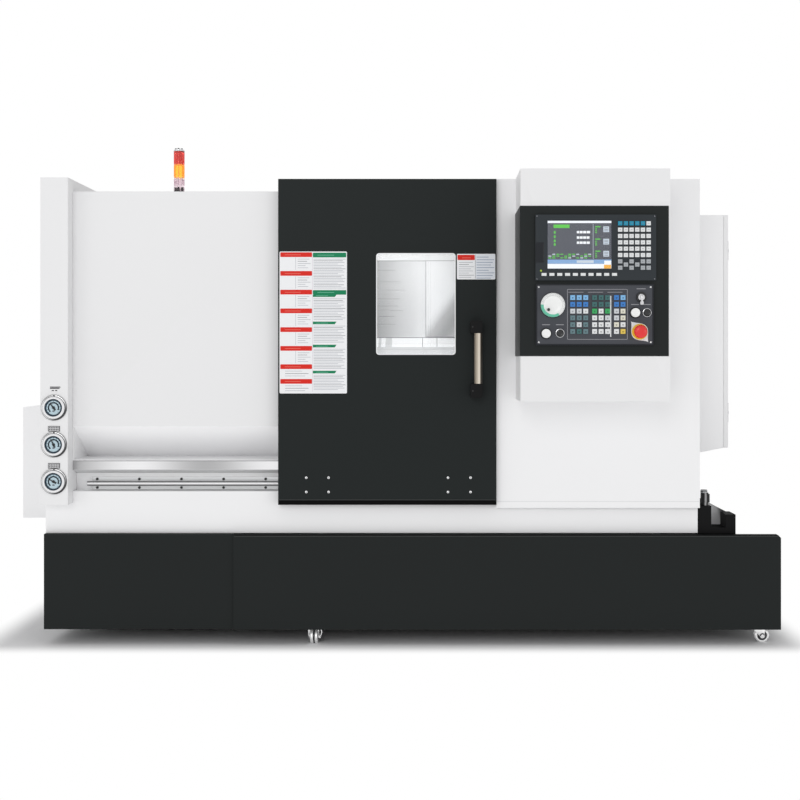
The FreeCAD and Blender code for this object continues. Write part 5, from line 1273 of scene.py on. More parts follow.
def console_shell():
    """White console box, with the screw covers on its right side."""
    low, high = (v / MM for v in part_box("console_box"))

    def detail(shape):
        for z in (low.z + 40, (low.z + high.z) / 2, high.z - 40):
            screw_head(shape, (high.x - 0.2, -640, z), X, 5.0, 2.2, 1, 2)

    dressed("console_box", ["body_white", "screw_steel", "screw_black"], 1.6, extra=detail)


def display_housing():
    """Control display: the moulded frame with its recess, a card door and a small lamp."""

    def detail(shape):
        front = UNIT_FRONT - 0.5
        rounded_plate(shape, (476, 503), (1324, 1391), front, UNIT_FRONT + 0.4, 2.5, 1, 3)
        add_box(shape, (500.5, front - 0.3, 1330), (502, front + 0.2, 1386), 2)
        add_rod(shape, (493.5, UNIT_FRONT + 0.2, 1297), TOWARDS_OPERATOR, 1.0, 3.2, segments=20, finish=4)
        for x in (480, 870):
            for z in (1270, 1478):
                screw_head(shape, (x, UNIT_FRONT + 0.1, z), radius=1.7, height=0.9, finish=3, dark=2)

    finishes = ["unit_plastic", "unit_dark", "button_black", "panel_line", "lit_lime"]
    dressed("display_unit", finishes, 0.9, extra=detail)


def screen_picture():
    """Generic screen content, drawn as thin glowing fields behind the glass."""
    shape = bmesh.new()
    back = -766.2
    finishes = ["lit_navy", "lit_white", "lit_grey", "lit_green", "lit_blue", "lit_orange", "lit_pale"]
    navy, white, grey_field, green, blue, orange, pale = range(7)

    def field(x, z, finish, level=1):
        add_box(shape, (x[0], back - 0.12 * level, z[0]), (x[1], back + 0.1, z[1]), finish)

    field((515, 727), (1304, 1463), navy)
    field((515.5, 726.5), (1455, 1462.5), white, 2)
    field((515.5, 726.5), (1334, 1454.5), grey_field, 2)
    field((535, 588), (1438.6, 1450), green, 3)
    for z in (1420, 1406, 1392, 1380):
        field((536, 542), (z, z + 8), green, 3)
    for z, width in ((1421, 44), (1403, 42), (1386, 43)):
        field((612, 612 + width), (z, z + 8), white, 3)
        for gap in range(3):
            field((620 + 11.5 * gap, 621.6 + 11.5 * gap), (z, z + 8), grey_field, 4)
    field((665.6, 666.8), (1336, 1451), pale, 3)
    for z in (1441, 1400, 1360):
        field((673, 690), (z, z + 3.6), green, 3)
        for drop in (7, 13, 19):
            field((673, 679), (z - drop, z - drop + 3), green, 3)
        field((700, 719), (z - 16, z + 3), pale, 3)
        for drop in (1, 6, 11):
            field((703, 716), (z - drop - 1.6, z - drop), grey_field, 4)
    for row, z in enumerate((1350, 1344, 1338)):
        for column in range(11):
            x = 518 + column * 13.2
            if (column + row) % 4:
                field((x, x + 9.5), (z, z + 3.2), (green, pale, green)[(column + row) % 3], 3)
    field((515.5, 726.5), (1320.5, 1334), blue, 2)
    field((612, 668), (1323, 1331.6), pale, 3)
    field((515.5, 726.5), (1304.5, 1320), white, 2)
    field((703, 726), (1317.5, 1330.5), white, 3)
    field((702, 725.5), (1304.5, 1317), orange, 3)
    finished("screen_picture", shape, finishes, "enclosure", bevel=0)

    glass = bmesh.new()
    rounded_plate(glass, (515.2, 726.8), (1304.2, 1462.8), -767.4, -766.9, 2, 0, 3)
    finished("screen_cover", glass, ["screen_cover"], "enclosure", ("screen",))


def keycap(shape, x, z, width, height, finish):
    """A key with a dished top: four sloped sides and a small raised rim."""
    made = add_box(shape, (x, KEY_FRONT, z), (x + width, UNIT_FRONT, z + height), finish)
    shape.normal_update()
    faces = [face for face in faces_of(made) if face.normal.y < -0.9]
    for thickness, depth in ((0.9, 0.55), (1.0, 0), (0.6, -0.25)):
        bmesh.ops.inset_region(shape, faces=faces, thickness=thickness * MM, depth=depth * MM, use_even_offset=True)


def key_mark(shape, x, z, finish):
    """A plain bar on a key, in place of its legend."""
    add_box(shape, (x[0], KEY_FRONT - 0.5, z[0]), (x[1], KEY_FRONT - 0.2, z[1]), finish)


def display_keys():
    """Six columns of keys beside the screen and a row of ten under it."""
    shape = bmesh.new()
    finishes = ["key_white", "key_grey", "key_teal", "print_grey"]
    white, grey, teal, ink = range(4)
    for column in range(6):
        x = 748 + 18.8 * column
        rows = (0.5, 2, 3, 4, 5, 6, 7) if column in (1, 3) else range(8)
        for row in rows:
            z = 1300 + 21 * row
            finish = white
            if row == 7:
                finish = teal if column < 5 else white
            elif row < 2:
                finish = grey
            keycap(shape, x, z, 14.3, 13.6, finish)
            key_mark(shape, (x + 4.2, x + 10.1), (z + 6.2, z + 7.4), ink)
    for column in range(10):
        keycap(shape, 495 + 25.9 * column, 1280, 16.5, 9.3, white)
    finished("display_keycaps", shape, finishes, "enclosure", ("display_keys",), soft=25)


def operator_panel():
    """Panel plate with a raised surround, corner screws, a thin border round the keys and marks."""
    plate = bmesh.new()
    rounded_plate(plate, (479, 864), (1053, 1250), UNIT_FRONT, -762, 4, 0)
    finished("panel_plate", plate, ["panel_grey"], "enclosure", ("operator_panel",), 0.8)

    trim = bmesh.new()
    front = UNIT_FRONT - 0.8
    add_frame(trim, (476, front - 0.6, 1049.5), (867, -764, 1253.5), 4.5, 5, 0, 4)
    for x in (486, 857):
        for z in (1060, 1243):
            screw_head(trim, (x, UNIT_FRONT + 0.1, z), radius=3.2, height=1.6, finish=1, dark=2)
    add_frame(trim, (580, front + 0.2, 1069), (780, -767.5, 1236), 1.5, 3, 3, 3)
    add_box(trim, (714, front - 0.2, 1086), (716.4, -767.5, 1138), 3)
    for x, z, width in ((497, 1117, 26), (543, 1117, 26), (792, 1184, 26), (832, 1184, 24), (810, 1236, 30)):
        add_box(trim, (x, front + 0.2, z), (x + width, -767.5, z + 2.2), 3)
    for x in (584, 648.5, 713):
        add_box(trim, (x, front + 0.2, 1225), (x + 50, -767.5, 1226.6), 3)
    finishes = ["unit_dark", "screw_steel", "screw_black", "panel_line"]
    finished("panel_trim", trim, finishes, "enclosure", bevel=0.3)


def panel_keys():
    """Three groups of coloured keys, eight columns and six rows."""
    finishes = [
        "key_sky", "key_blue", "key_light", "key_slate", "key_white", "key_deep", "key_green", "key_cream",
        "key_yellow", "print_black",
    ]
    sky, blue, light, slate, white, deep, green, cream, yellow, ink = range(10)
    rows = [
        [sky, sky, sky, deep, deep, deep, blue, sky],
        [blue, blue, blue, deep, deep, deep, blue, blue],
        [light, light, white, green, white, green, light, cream],
        [slate, slate, slate, white, white, light, light, cream],
        [slate, light, slate, white, white, white, cream, white],
        [slate, deep, slate, white, white, white, white, yellow],
    ]
    shape = bmesh.new()
    for row, colours in enumerate(rows):
        z = 1088 + 22.4 * (5 - row)
        for column, colour in enumerate(colours):
            x = 590 + 21.5 * column + 8 * (column // 3)
            keycap(shape, x, z, 16, 16, colour)
            key_mark(shape, (x + 5, x + 11), (z + 7.4, z + 8.6), ink)
            key_mark(shape, (x + 6, x + 10), (z + 4.6, z + 5.6), ink)
    for x, z, length in ((595, 1200, 3), (724, 1078, 136)):
        add_box(shape, (x - 1.8, UNIT_FRONT - 0.9, z), (x + 1.8, UNIT_FRONT + 0.4, z + length), white)
    finished("panel_keycaps", shape, finishes, "enclosure", ("panel_keys",), soft=25)


# ---------------------------------------------------------------- operator's controls


def add_stem(shape, stem, x, z, reach, radius, finish):
    """The rod behind a control, as deep as its solid's box, that ends a reach in front of y = 0."""
    back = stem[1].y / MM
    add_rod(shape, (x, back - 0.2, z), TOWARDS_OPERATOR, back + reach, radius, segments=32, finish=finish)


def push_button(node, r, cap, ring, place):
    """A push button: dished cap on its own body, with a ring on the panel behind it."""
    body = nodes[node]["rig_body"]
    x, z = place
    shape = bmesh.new()
    cap_profile = [
        (0, 7.6), (r * 0.5, 7.7), (r * 0.78, 8.4), (r - 1.6, 9.6), (r - 0.5, 9.4), (r, 8.6),
        (r, 0.4), (0, 0.4),
    ]
    add_turned(shape, cap_profile, (x, -771.4, z), TOWARDS_OPERATOR, 48, 0)
    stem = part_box(node)
    add_stem(shape, stem, x, z, 771.4, r * 0.6, 1)
    finished(node + "_cap", shape, [cap, "black_plastic"], body, (node,))

    collar = bmesh.new()
    outer = r + 3.3
    wall = [(r + 0.5, 0), (outer, 0), (outer, 2.6), (outer - 1.0, 4.6), (r + 0.9, 4.9), (r + 0.5, 4.2), (r + 0.5, 0)]
    add_turned(collar, wall, (x, UNIT_FRONT + 0.05, z), TOWARDS_OPERATOR, 48, 0)
    finished(node + "_ring", collar, [ring], "enclosure")


def emergency_stop():
    """Red mushroom head, its yellow ring, and the leaf-shaped plain label, which is open in its middle."""
    x, z = 820, 1095
    label = bmesh.new()
    label_radius = 46
    made = add_tube(label, (x, UNIT_FRONT + 0.2, z), TOWARDS_OPERATOR, 0.9, 14, label_radius, 64, 0)
    for vertex in made:
        across, up = vertex.co.x / MM - x, vertex.co.z / MM - z
        if math.hypot(across, up) >= 20:
            flat = 0.62 * max(0.0, 1 - (across / label_radius) ** 2) ** 1.3
            bmesh.ops.translate(label, vec=metres((0, 0, up * (flat - 1))), verts=[vertex])
    turned_about(label, made, (x, 0, z), Y, 50)
    finished("estop_label", label, ["print_white"], "enclosure")

    ring = bmesh.new()
    wall = [(12, 0), (26, 0), (26, 2.2), (24.6, 3.6), (13, 4.2), (12, 3.6), (12, 0)]
    add_turned(ring, wall, (x, UNIT_FRONT + 0.05, z), TOWARDS_OPERATOR, 64, 0)
    finished("estop_ring", ring, ["ring_yellow"], "enclosure")

    shape = bmesh.new()
    head = [
        (0, 27.6), (9, 27.4), (15, 26.2), (19.4, 23.6), (21.8, 19.6), (22, 16.4), (20.6, 14.2), (15, 13.4),
        (11, 12.6), (11, 0.4), (0, 0.4),
    ]
    add_turned(shape, head, (x, -772.4, z), TOWARDS_OPERATOR, 64, 0)
    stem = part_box("estop_button")
    add_stem(shape, stem, x, z, 772.0, 9.0, 1)
    finishes = ["stop_red", "black_plastic"]
    finished("estop_head", shape, finishes, "estop_button", ("estop_button",))


def key_switch():
    """Key switch: a ring on the panel, and a barrel with the key's bow and grip."""
    x, z = 825, 1209
    ring = bmesh.new()
    wall = [(11.5, 0), (17.3, 0), (17.3, 2.6), (16.2, 4.4), (12.2, 4.8), (11.5, 4.2), (11.5, 0)]
    add_turned(ring, wall, (x, UNIT_FRONT + 0.05, z), TOWARDS_OPERATOR, 64, 0)
    finished("key_switch_ring", ring, ["button_black"], "enclosure")

    shape = bmesh.new()
    barrel = [(0, 6.4), (4, 6.6), (9.6, 6.6), (10.8, 5.4), (11, 0.4), (0, 0.4)]
    add_turned(shape, barrel, (x, -771.4, z), TOWARDS_OPERATOR, 48, 0)
    add_rounded_box(shape, (x - 2.8, -786.2, z - 20.0), (x + 2.8, -776.5, z + 9.5), 1.6, 0)
    add_rounded_box(shape, (x - 5.6, -785.0, z - 25.0), (x + 5.6, -782.0, z - 14.0), 2.2, 0, Y)
    add_rounded_box(shape, (x - 0.7, -786.6, z + 2), (x + 0.7, -785.8, z + 8.5), 0.3, 1, segments=1)
    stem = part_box("key_switch")
    add_stem(shape, stem, x, z, 771.8, 6.5, 0)
    finished("key_switch_lever", shape, ["chrome", "button_black"], "key_switch", ("key_switch",))


def handwheel():
    """White pulse-generator wheel: dished disc, coloured arc of tick marks and a small dark grip."""
    x, z = 532, 1183
    base = bmesh.new()
    wall = [(0, 0), (43, 0), (43, 1.6), (41.6, 2.2), (0, 2.2)]
    add_turned(base, wall, (x, UNIT_FRONT + 1.95, z), TOWARDS_OPERATOR, 72, 0)
    finished("handwheel_base", base, ["unit_dark"], "enclosure")

    shape = bmesh.new()
    disc = [
        (0, 15.0), (14, 15.0), (24, 15.8), (27.6, 17.4), (29, 17.9), (30.4, 17.0), (31.4, 13.8), (33, 12.2), (37, 12.6),
        (39.3, 12.0), (40, 10.6), (40, 1.4), (39, 0.6), (0, 0.6),
    ]
    add_turned(shape, disc, (x, -768.4, z), TOWARDS_OPERATOR, 96, 0)
    for tick in range(50):
        length = 2.6 if tick % 5 else 4.2
        made = add_box(shape, (x - 0.45, -781.7, z + 38.6 - length), (x + 0.45, -780.4, z + 38.6), 1)
        turned_about(shape, made, (x, 0, z), Y, 360 * tick / 50)
    for groove in range(72):
        made = add_rod(shape, (x, -779.4, z + 39.7), Y, 9.4, 0.75, segments=6, finish=0)
        turned_about(shape, made, (x, 0, z), Y, 5 * groove)
    grip = [(0, 8.2), (2.6, 8.1), (4.6, 7.0), (5.0, 5.4), (4.2, 3.0), (4.4, 0), (0, 0)]
    add_turned(shape, grip, (x - 15.6, -785.6, z - 15.6), TOWARDS_OPERATOR, 32, 2)
    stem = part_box("handwheel")
    add_stem(shape, stem, x, z, 768.6, 12, 2)
    finishes = ["button_white", "print_grey", "button_black"]
    finished("handwheel_disc", shape, finishes, "handwheel", ("handwheel",))

    rim = bmesh.new()
    profile = [(31.0, 0.2), (31.0, 13.9), (33.0, 13.2), (37, 13.3), (39.5, 12.7), (40.1, 11.0), (40.1, 0.2)]
    line = [rim.verts.new(metres((radius, 0, height))) for radius, height in profile]
    edges = [rim.edges.new(pair) for pair in zip(line, line[1:] + line[:1])]
    start = Matrix.Rotation(math.radians(-58), 4, "Z")
    bmesh.ops.transform(rim, matrix=start, verts=line)
    bmesh.ops.spin(
        rim, geom=line + edges, cent=(0, 0, 0), axis=Z, dvec=(0, 0, 0), angle=math.radians(-124), steps=36,
        use_merge=False, use_normal_flip=False, use_duplicate=False,
    )
    bmesh.ops.holes_fill(rim, edges=[edge for edge in rim.edges if edge.is_boundary], sides=0)
    bmesh.ops.transform(rim, matrix=aimed(TOWARDS_OPERATOR, (x, -768.5, z)), verts=rim.verts)
    finished("handwheel_arc", rim, ["dial_green"], "handwheel")


def controls():
    """The push buttons, the emergency stop, the key switch and the handwheel."""
    push_button("start_button", 15, "button_white", "black_plastic", (510, 1089))
    push_button("stop_button", 12, "button_black", "chrome", (556, 1090))
    push_button("ready_button", 15, "button_white", "black_plastic", (805, 1158))
    push_button("power_button", 12, "button_black", "chrome", (844, 1158))
    emergency_stop()
    key_switch()
    handwheel()


# ---------------------------------------------------------------- gauges and lamp tower

# height of each gauge and the direction of its pointer in degrees
GAUGES = ((835, 127), (706.5, 115), (578, 150))
GAUGE_X, GAUGE_BACK = -1184, -564
# painted highlight and shade on each gauge's chrome flange: bright towards the upper left, dark towards the lower right
GAUGE_CHROME_PAINTED_LIGHT = greys((0.0, 176), (0.12, 236), (0.62, 222), (0.8, 140), (0.9, 74), (1.0, 60))
GAUGE_FINISHES = ["bezel_white", "dial_blue", "dial_ink", "screw_black", "dial_rim", "groove_dark", "print_grey"]


def gauge(shape, glass, z, pointer, chrome):
    """Flange, white bezel, dark rim, pale dial with a dark arc of ticks, pointer and glass."""
    white, blue, ink, black, rim, groove, grey_mark = range(7)
    axis = TOWARDS_OPERATOR

    def at(forward):
        return (GAUGE_X, GAUGE_BACK - forward, z)

    def tick(start, end, half, angle):
        low, high = (GAUGE_X + start, GAUGE_BACK - 6.6, z - half), (GAUGE_X + end, GAUGE_BACK - 6.1, z + half)
        turned_about(shape, add_box(shape, low, high, ink), (GAUGE_X, 0, z), Y, -angle)

    flange = [(0, 0), (44, 0), (44, 2.6), (42.6, 4.0), (40.4, 4.4), (39.6, 3.6), (39.6, 5.4), (31, 5.4), (0, 5.4)]
    add_turned(shape, flange, at(0), axis, 80, chrome)
    # two dark rings, at the flange's rim and between flange and bezel: painted shade round the bezel
    add_tube(shape, at(0.1), axis, 2.9, 42.8, 44.6, 80, groove)
    add_tube(shape, at(4.2), axis, 1.4, 38.4, 40.0, 64, groove)
    bezel = [(30.6, 0), (38.4, 0), (38.8, 1.6), (37.8, 4.2), (35.4, 6.0), (32.6, 6.2), (31.0, 5.4), (30.6, 4.6)]
    add_turned(shape, bezel + bezel[:1], at(5.2), axis, 80, white)
    well = [(24.4, 0), (30.9, 0), (30.9, 4.6), (29.6, 3.6), (25.6, 1.6), (24.4, 1.4), (24.4, 0)]
    add_turned(shape, well, at(5.3), axis, 64, rim)
    add_rod(shape, at(5.0), axis, 1.2, 27.0, segments=64, finish=blue)
    for number in range(34):
        tick(15.0, 19.8, 1.5, 228 - 250 * number / 33)
    for number in range(11):
        tick(20.8, 24.4, 0.6, 225 - 27 * number)
    add_box(shape, (GAUGE_X - 3.6, -570.5, z - 14.6), (GAUGE_X + 3.6, -570.0, z - 9.4), grey_mark)
    hand = add_box(shape, (GAUGE_X - 11, -572.4, z - 3.3), (GAUGE_X + 21, -571.6, z + 3.3), black)
    tip = [v for v in hand if v.co.x / MM > GAUGE_X + 10]
    bmesh.ops.scale(shape, vec=(1, 1, 0.35), space=Matrix.Translation(-metres((0, 0, z))), verts=tip)
    turned_about(shape, hand, (GAUGE_X, 0, z), Y, -pointer)
    add_rod(shape, at(6.1), axis, 3.4, 5.4, 4.2, 24, black)
    add_rod(shape, (GAUGE_X + 1, GAUGE_BACK - 3.4, z + 41.8), axis, 1.4, 2.6, segments=16, finish=black)
    pane = [(0, 0), (30.8, 0), (30.8, 0.8), (18, 1.1), (0, 1.2)]
    add_turned(glass, pane, at(9.0), axis, 48, 0)


def name_strip(shape, z):
    """A dark plate between two gauges, with a pale field and two rows of plain marks."""
    white, groove = 0, 5
    rounded_plate(shape, (GAUGE_X - 20.5, GAUGE_X + 20.5), (z - 9.4, z + 9.4), -565.4, -563.6, 1.2, groove, 2)
    add_box(shape, (GAUGE_X - 18.2, -565.8, z - 7.2), (GAUGE_X + 18.2, -565, z + 7.2), white)
    for middle in (z + 3.3, z - 3.3):
        for mark in range(6):
            x = GAUGE_X - 16.8 + 5.8 * mark
            add_box(shape, (x, -566.1, middle - 2.2), (x + 4.4, -565.6, middle + 2.2), groove)


def gauges():
    """Three pressure gauges, two strips between them and a few plain marks above."""
    shape, glass = bmesh.new(), bmesh.new()
    finishes = list(GAUGE_FINISHES)
    for z, pointer in GAUGES:
        middle = (GAUGE_X - z) / math.sqrt(2)
        span = (1, 0, -1), middle - 44, middle + 44
        gauge(shape, glass, z, pointer, len(finishes))
        finishes.append(painted_light_ramp("gauge_chrome_%d" % z, GAUGE_CHROME_PAINTED_LIGHT, *span, 0.22, 0.35, 0.6))
    for z in (761.6, 632.4):
        name_strip(shape, z)
    for x, z, length in ((-14, 905, 36), (-14, 900.5, 33), (-8, 893, 8), (4, 893, 7)):
        add_box(shape, (GAUGE_X + x, -564.5, z), (GAUGE_X + x + length, -563.9, z + 3.2), 5)
    finished("gauge_faces", shape, finishes, "enclosure", ("pressure_gauges",), soft=28)
    finished("gauge_glasses", glass, ["gauge_glass"], "enclosure", soft=28)


LAMP_AXIS = (-820, -227)


def ribbed_lens(node, finish):
    """A tower lens: ribbed tube with a rounded foot and a groove at its top."""
    low, high = (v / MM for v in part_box(node))
    height = high.z - low.z
    shape = bmesh.new()
    outer = 20.0
    profile = [(17.4, 0.4), (outer - 1.2, 0.4), (outer, 1.6), (outer, 4.2), (outer - 0.8, 5.0)]
    profile += [(outer - 0.8, height - 5.0), (outer, height - 4.2), (outer, height - 1.6), (outer - 1.2, height - 0.4)]
    profile += [(17.4, height - 0.4), (17.4, 0.4)]
    add_turned(shape, profile, (*LAMP_AXIS, low.z), Z, 72, 0)
    for rib in range(24):
        angle = math.radians(15 * rib)
        x = LAMP_AXIS[0] + 19.1 * math.cos(angle)
        y = LAMP_AXIS[1] + 19.1 * math.sin(angle)
        add_rod(shape, (x, y, low.z + 5.2), Z, height - 10.4, 0.85, segments=8, finish=0)
    finished(node + "_ribbed", shape, [finish], nodes[node]["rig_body"], (node,), soft=30)


def lamp_tower():
    """Signal tower: base, three lenses round five rods, cap, and the lamps inside."""
    ribbed_lens("stack_lens_clear", "lens_clear")
    ribbed_lens("stack_lens_amber", "lens_amber")
    # the red lens glows faintly though its lamp is off: painted light
    ribbed_lens("stack_lens_red", "lens_red")

    x, y = LAMP_AXIS
    body = nodes["stack_light_base"]["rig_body"]
    shape = bmesh.new()
    base = [(0, 0), (21, 0), (21, 4), (19, 7), (19, 36), (20.2, 37), (20.2, 38.4), (0, 38.4)]
    add_turned(shape, base, (x, y, LEFT_ROOF + 0.1), Z, 64, 0)
    for turn in (-90, -155, -25, 60, 120):
        angle = math.radians(turn)
        ray = Vector((math.cos(angle), math.sin(angle), 0))
        spot = Vector((x, y, 1634)) + ray * 14.2
        add_turned(shape, [(0, 0), (5.2, 0), (5.4, 1), (5.0, 12), (3.4, 15.6), (0, 15.8)], spot, Z, 24, 0)
        add_rod(shape, spot, Z, 152, 1.9, segments=16, finish=1)
        nut = Vector((x, y, 1788)) + ray * 12.5
        add_rod(shape, nut, Z, 7.6, 3.6, segments=6, finish=0)
    cap = [(0, 0), (19.4, 0), (20, 0.8), (20, 5.2), (19.2, 7.0), (16, 8.2), (9, 8.6), (0, 8.6)]
    add_turned(shape, cap, (x, y, 1784.1), Z, 64, 1)
    add_tube(shape, (x, y, 1783.6), Z, 1.8, 18.2, 20.3, 64, 0, 0.4)
    add_turned(shape, [(0, 0), (6, 0), (6, 2.4), (3.6, 4.0), (0, 4.2)], (x, y, 1792.4), Z, 32, 1)
    finishes = ["button_black", "chrome"]
    finished("tower_base", shape, finishes, body, ("stack_light_base",), soft=40)

    skirt = bmesh.new()
    add_tube(skirt, (x, y, 1635), Z, 18.6, 18.6, 20, 64)
    finished("tower_skirt", skirt, ["lens_clear"], body, soft=30)

    lamps = bmesh.new()
    for finish, level, height in ((0, 1690, 42), (1, 1740, 40)):
        bulb = [(0, 0), (10.4, 0.4), (11.8, 3), (11.8, height - 4), (9.4, height - 1), (0, height)]
        add_turned(lamps, bulb, (x, y, level), Z, 32, finish)
    finished("tower_lamps", lamps, ["lamp_core", "lamp_off"], body)


# ---------------------------------------------------------------- base parts


def anchor_bolt():
    """The levelling bolt on the bracket at the right end, with a painted highlight streak, and a thin plate on the
    bracket's gusset that carries a painted sheen.
    """
    x, y, low = 1100.5, -477, 484.7
    shape = bmesh.new()
    add_rod(shape, (x, y, low), Z, 45, 13.6, segments=40, finish=0)
    add_rod(shape, (x + 2, y, low + 11), Z, 30, 17.0, segments=6, finish=0)
    level = low + 45
    for height, radius, finish in ((2.4, 13.0, 2), (3.2, 12.2, 1), (2.2, 12.8, 2), (2.6, 11.4, 1)):
        add_tube(shape, (x - 2, y, level), Z, height, 2.5, radius, 40, finish, 0.5)
        level += height
    finished("anchor_bolt", shape, ["bolt_sheen", "bolt_black", "zinc"], "enclosure", bevel=0.4)

    # a thin plate just in front of the gusset, painted with a sheen that runs from light to black
    sheen = bmesh.new()
    made = add_box(sheen, (1120.2, -419.2, 409.2), (1194, -418.1, 491.0), 0)
    outer = [v for v in made if v.co.x / MM > 1150 and v.co.z / MM > 450]
    bmesh.ops.translate(sheen, vec=metres((0, 0, -37.4)), verts=outer)
    # a painted highlight line along the back edge of the bracket's bottom plate
    add_box(sheen, (1120.2, -421.0, 408.7), (1168, -418.6, 410.6), 1)
    finished("anchor_sheen", sheen, ["bracket_sheen", "panel_line"], "enclosure")


def roof_plates():
    """Screwed cover plates on the two roofs, one of them with a blank flange for an extractor."""
    plates = bmesh.new()
    for low_x, low_y, high_x, high_y, level in ((-640, 80, -120, 560, LEFT_ROOF), (520, 60, 920, 560, RIGHT_ROOF)):
        add_rounded_box(plates, (low_x, low_y, level - 0.5), (high_x, high_y, level + 2.5), 12, 0, Z, 4)
        for across in (0, 0.5, 1):
            for along in (0, 0.5, 1):
                if (across, along) != (0.5, 0.5):
                    x = low_x + 18 + across * (high_x - low_x - 36)
                    y = low_y + 18 + along * (high_y - low_y - 36)
                    screw_head(plates, (x, y, level + 2.4), Z, 5.0, 2.2, 1, 2)
    rim = [(0, 0), (118, 0), (120, 2), (120, 7), (118, 9), (104, 9), (102, 7.4), (0, 7.4)]
    x, y = -380, 320
    add_turned(plates, rim, (x, y, LEFT_ROOF + 2), Z, 72, 0)
    for turn in range(8):
        angle = math.radians(45 * turn)
        place = (x + 111 * math.cos(angle), y + 111 * math.sin(angle), LEFT_ROOF + 10.8)
        screw_head(plates, place, Z, 4.2, 2.0, 1, 2)
    # the plates take the lighter copy of the white: painted light
    finishes = ["cover_white", "screw_steel", "screw_black"]
    finished("roof_plates", plates, finishes, "enclosure", bevel=0.8)


def cabinet_inside():
    """What the open cabinet shows: drives on a zinc plate, a duct, contactors and terminals."""

    def drives(shape):
        for face in shape.faces:
            centre = face.calc_center_median() / MM
            if 1077 < centre.x < 1167 and -88 < centre.y < 454 and 1039 < centre.z < 1421:
                face.material_index = 1

    # the cabinet takes the lighter copy of the white: painted light
    dressed("electrical_cabinet", ["cover_white", "unit_plastic"], 1.4, extra=drives)
    fittings = bmesh.new()
    zinc, dark, black, green, pale, duct, blue = range(7)
    for low_y, high_y, top in ((-262, -92, 1524), (458, 686, 1524), (-92, 458, 1036)):
        add_box(fittings, (1076.2, low_y, 690), (1078.4, high_y, top), zinc)
    for low_y in (-87, 103, 293):
        for row in range(8):
            add_box(fittings, (1165.6, low_y + 22, 1060 + 10 * row), (1166.7, low_y + 138, 1065 + 10 * row), black)
        add_rounded_box(fittings, (1165, low_y + 36, 1338), (1169.5, low_y + 124, 1392), 3, dark, X)
        add_box(fittings, (1169, low_y + 44, 1352), (1169.9, low_y + 92, 1384), green)
        for key in range(3):
            add_rod(fittings, (1169, low_y + 108, 1354 + 13 * key), X, 2.4, 3.6, segments=24, finish=pale)
        for number, colour in enumerate((green, pale, green, blue)):
            low = low_y + 18 + 32 * number
            add_rounded_box(fittings, (1160, low, 1196), (1178, low + 26, 1246), 1.5, colour)
    add_rounded_box(fittings, (1078, -258, 958), (1128, 682, 1012), 2, duct)
    for slot in range(75):
        add_box(fittings, (1127.6, -250 + 12.4 * slot, 962), (1128.5, -246 + 12.4 * slot, 1008), black)
    for number in range(10):
        low = -236 + 64 * number
        add_rounded_box(fittings, (1078, low, 842), (1146, low + 46, 924), 3, dark, X)
        add_rounded_box(fittings, (1144, low + 8, 860), (1156, low + 38, 906), 2, pale, X)
    for number in range(40):
        low = -252 + 23 * number
        colour = (pale, pale, blue, green)[number % 4]
        add_rounded_box(fittings, (1078, low, 752), (1118, low + 19, 800), 1.5, colour)
    finishes = ["zinc", "unit_dark", "button_black", "placard_green", "seal_white", "panel_line", "key_blue"]
    finished("cabinet_fittings", fittings, finishes, "enclosure", bevel=0.6)


def anchor():
    """Anchor bracket, with painted shade darkening the faces that look up."""

    def detail(shape):
        shape.normal_update()
        paint([f for f in shape.faces if f.normal.z > 0.2], 1)

    dressed("anchor_bracket", ["anchor_black", "lip_black"], 1.2, extra=detail)


def levelling_feet():
    """Cast feet with a rubber pad, a hexagon nut and a threaded stem each."""
    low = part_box("levelling_feet")[0].z / MM
    shape = bmesh.new()
    for x, y in ((-1110, -220), (-670, -220), (-1110, 727), (220, 727), (970, 727), (970, 10)):
        disc = [(0, 0), (58, 0), (60, 2), (60, 12), (57, 15), (30, 23), (24, 30), (24, 36), (0, 36)]
        add_turned(shape, disc, (x, y, low + 0.1), Z, 48, 0)
        add_rod(shape, (x, y, low + 36), Z, 14, 21.5, segments=6, finish=1)
        add_rod(shape, (x, y, low + 36), Z, 23.9, 14, segments=32, finish=1)
    finished("feet", shape, ["motor_paint", "zinc"], "enclosure", ("levelling_feet",), bevel=0.6)


CASTER_TRAIL = 18


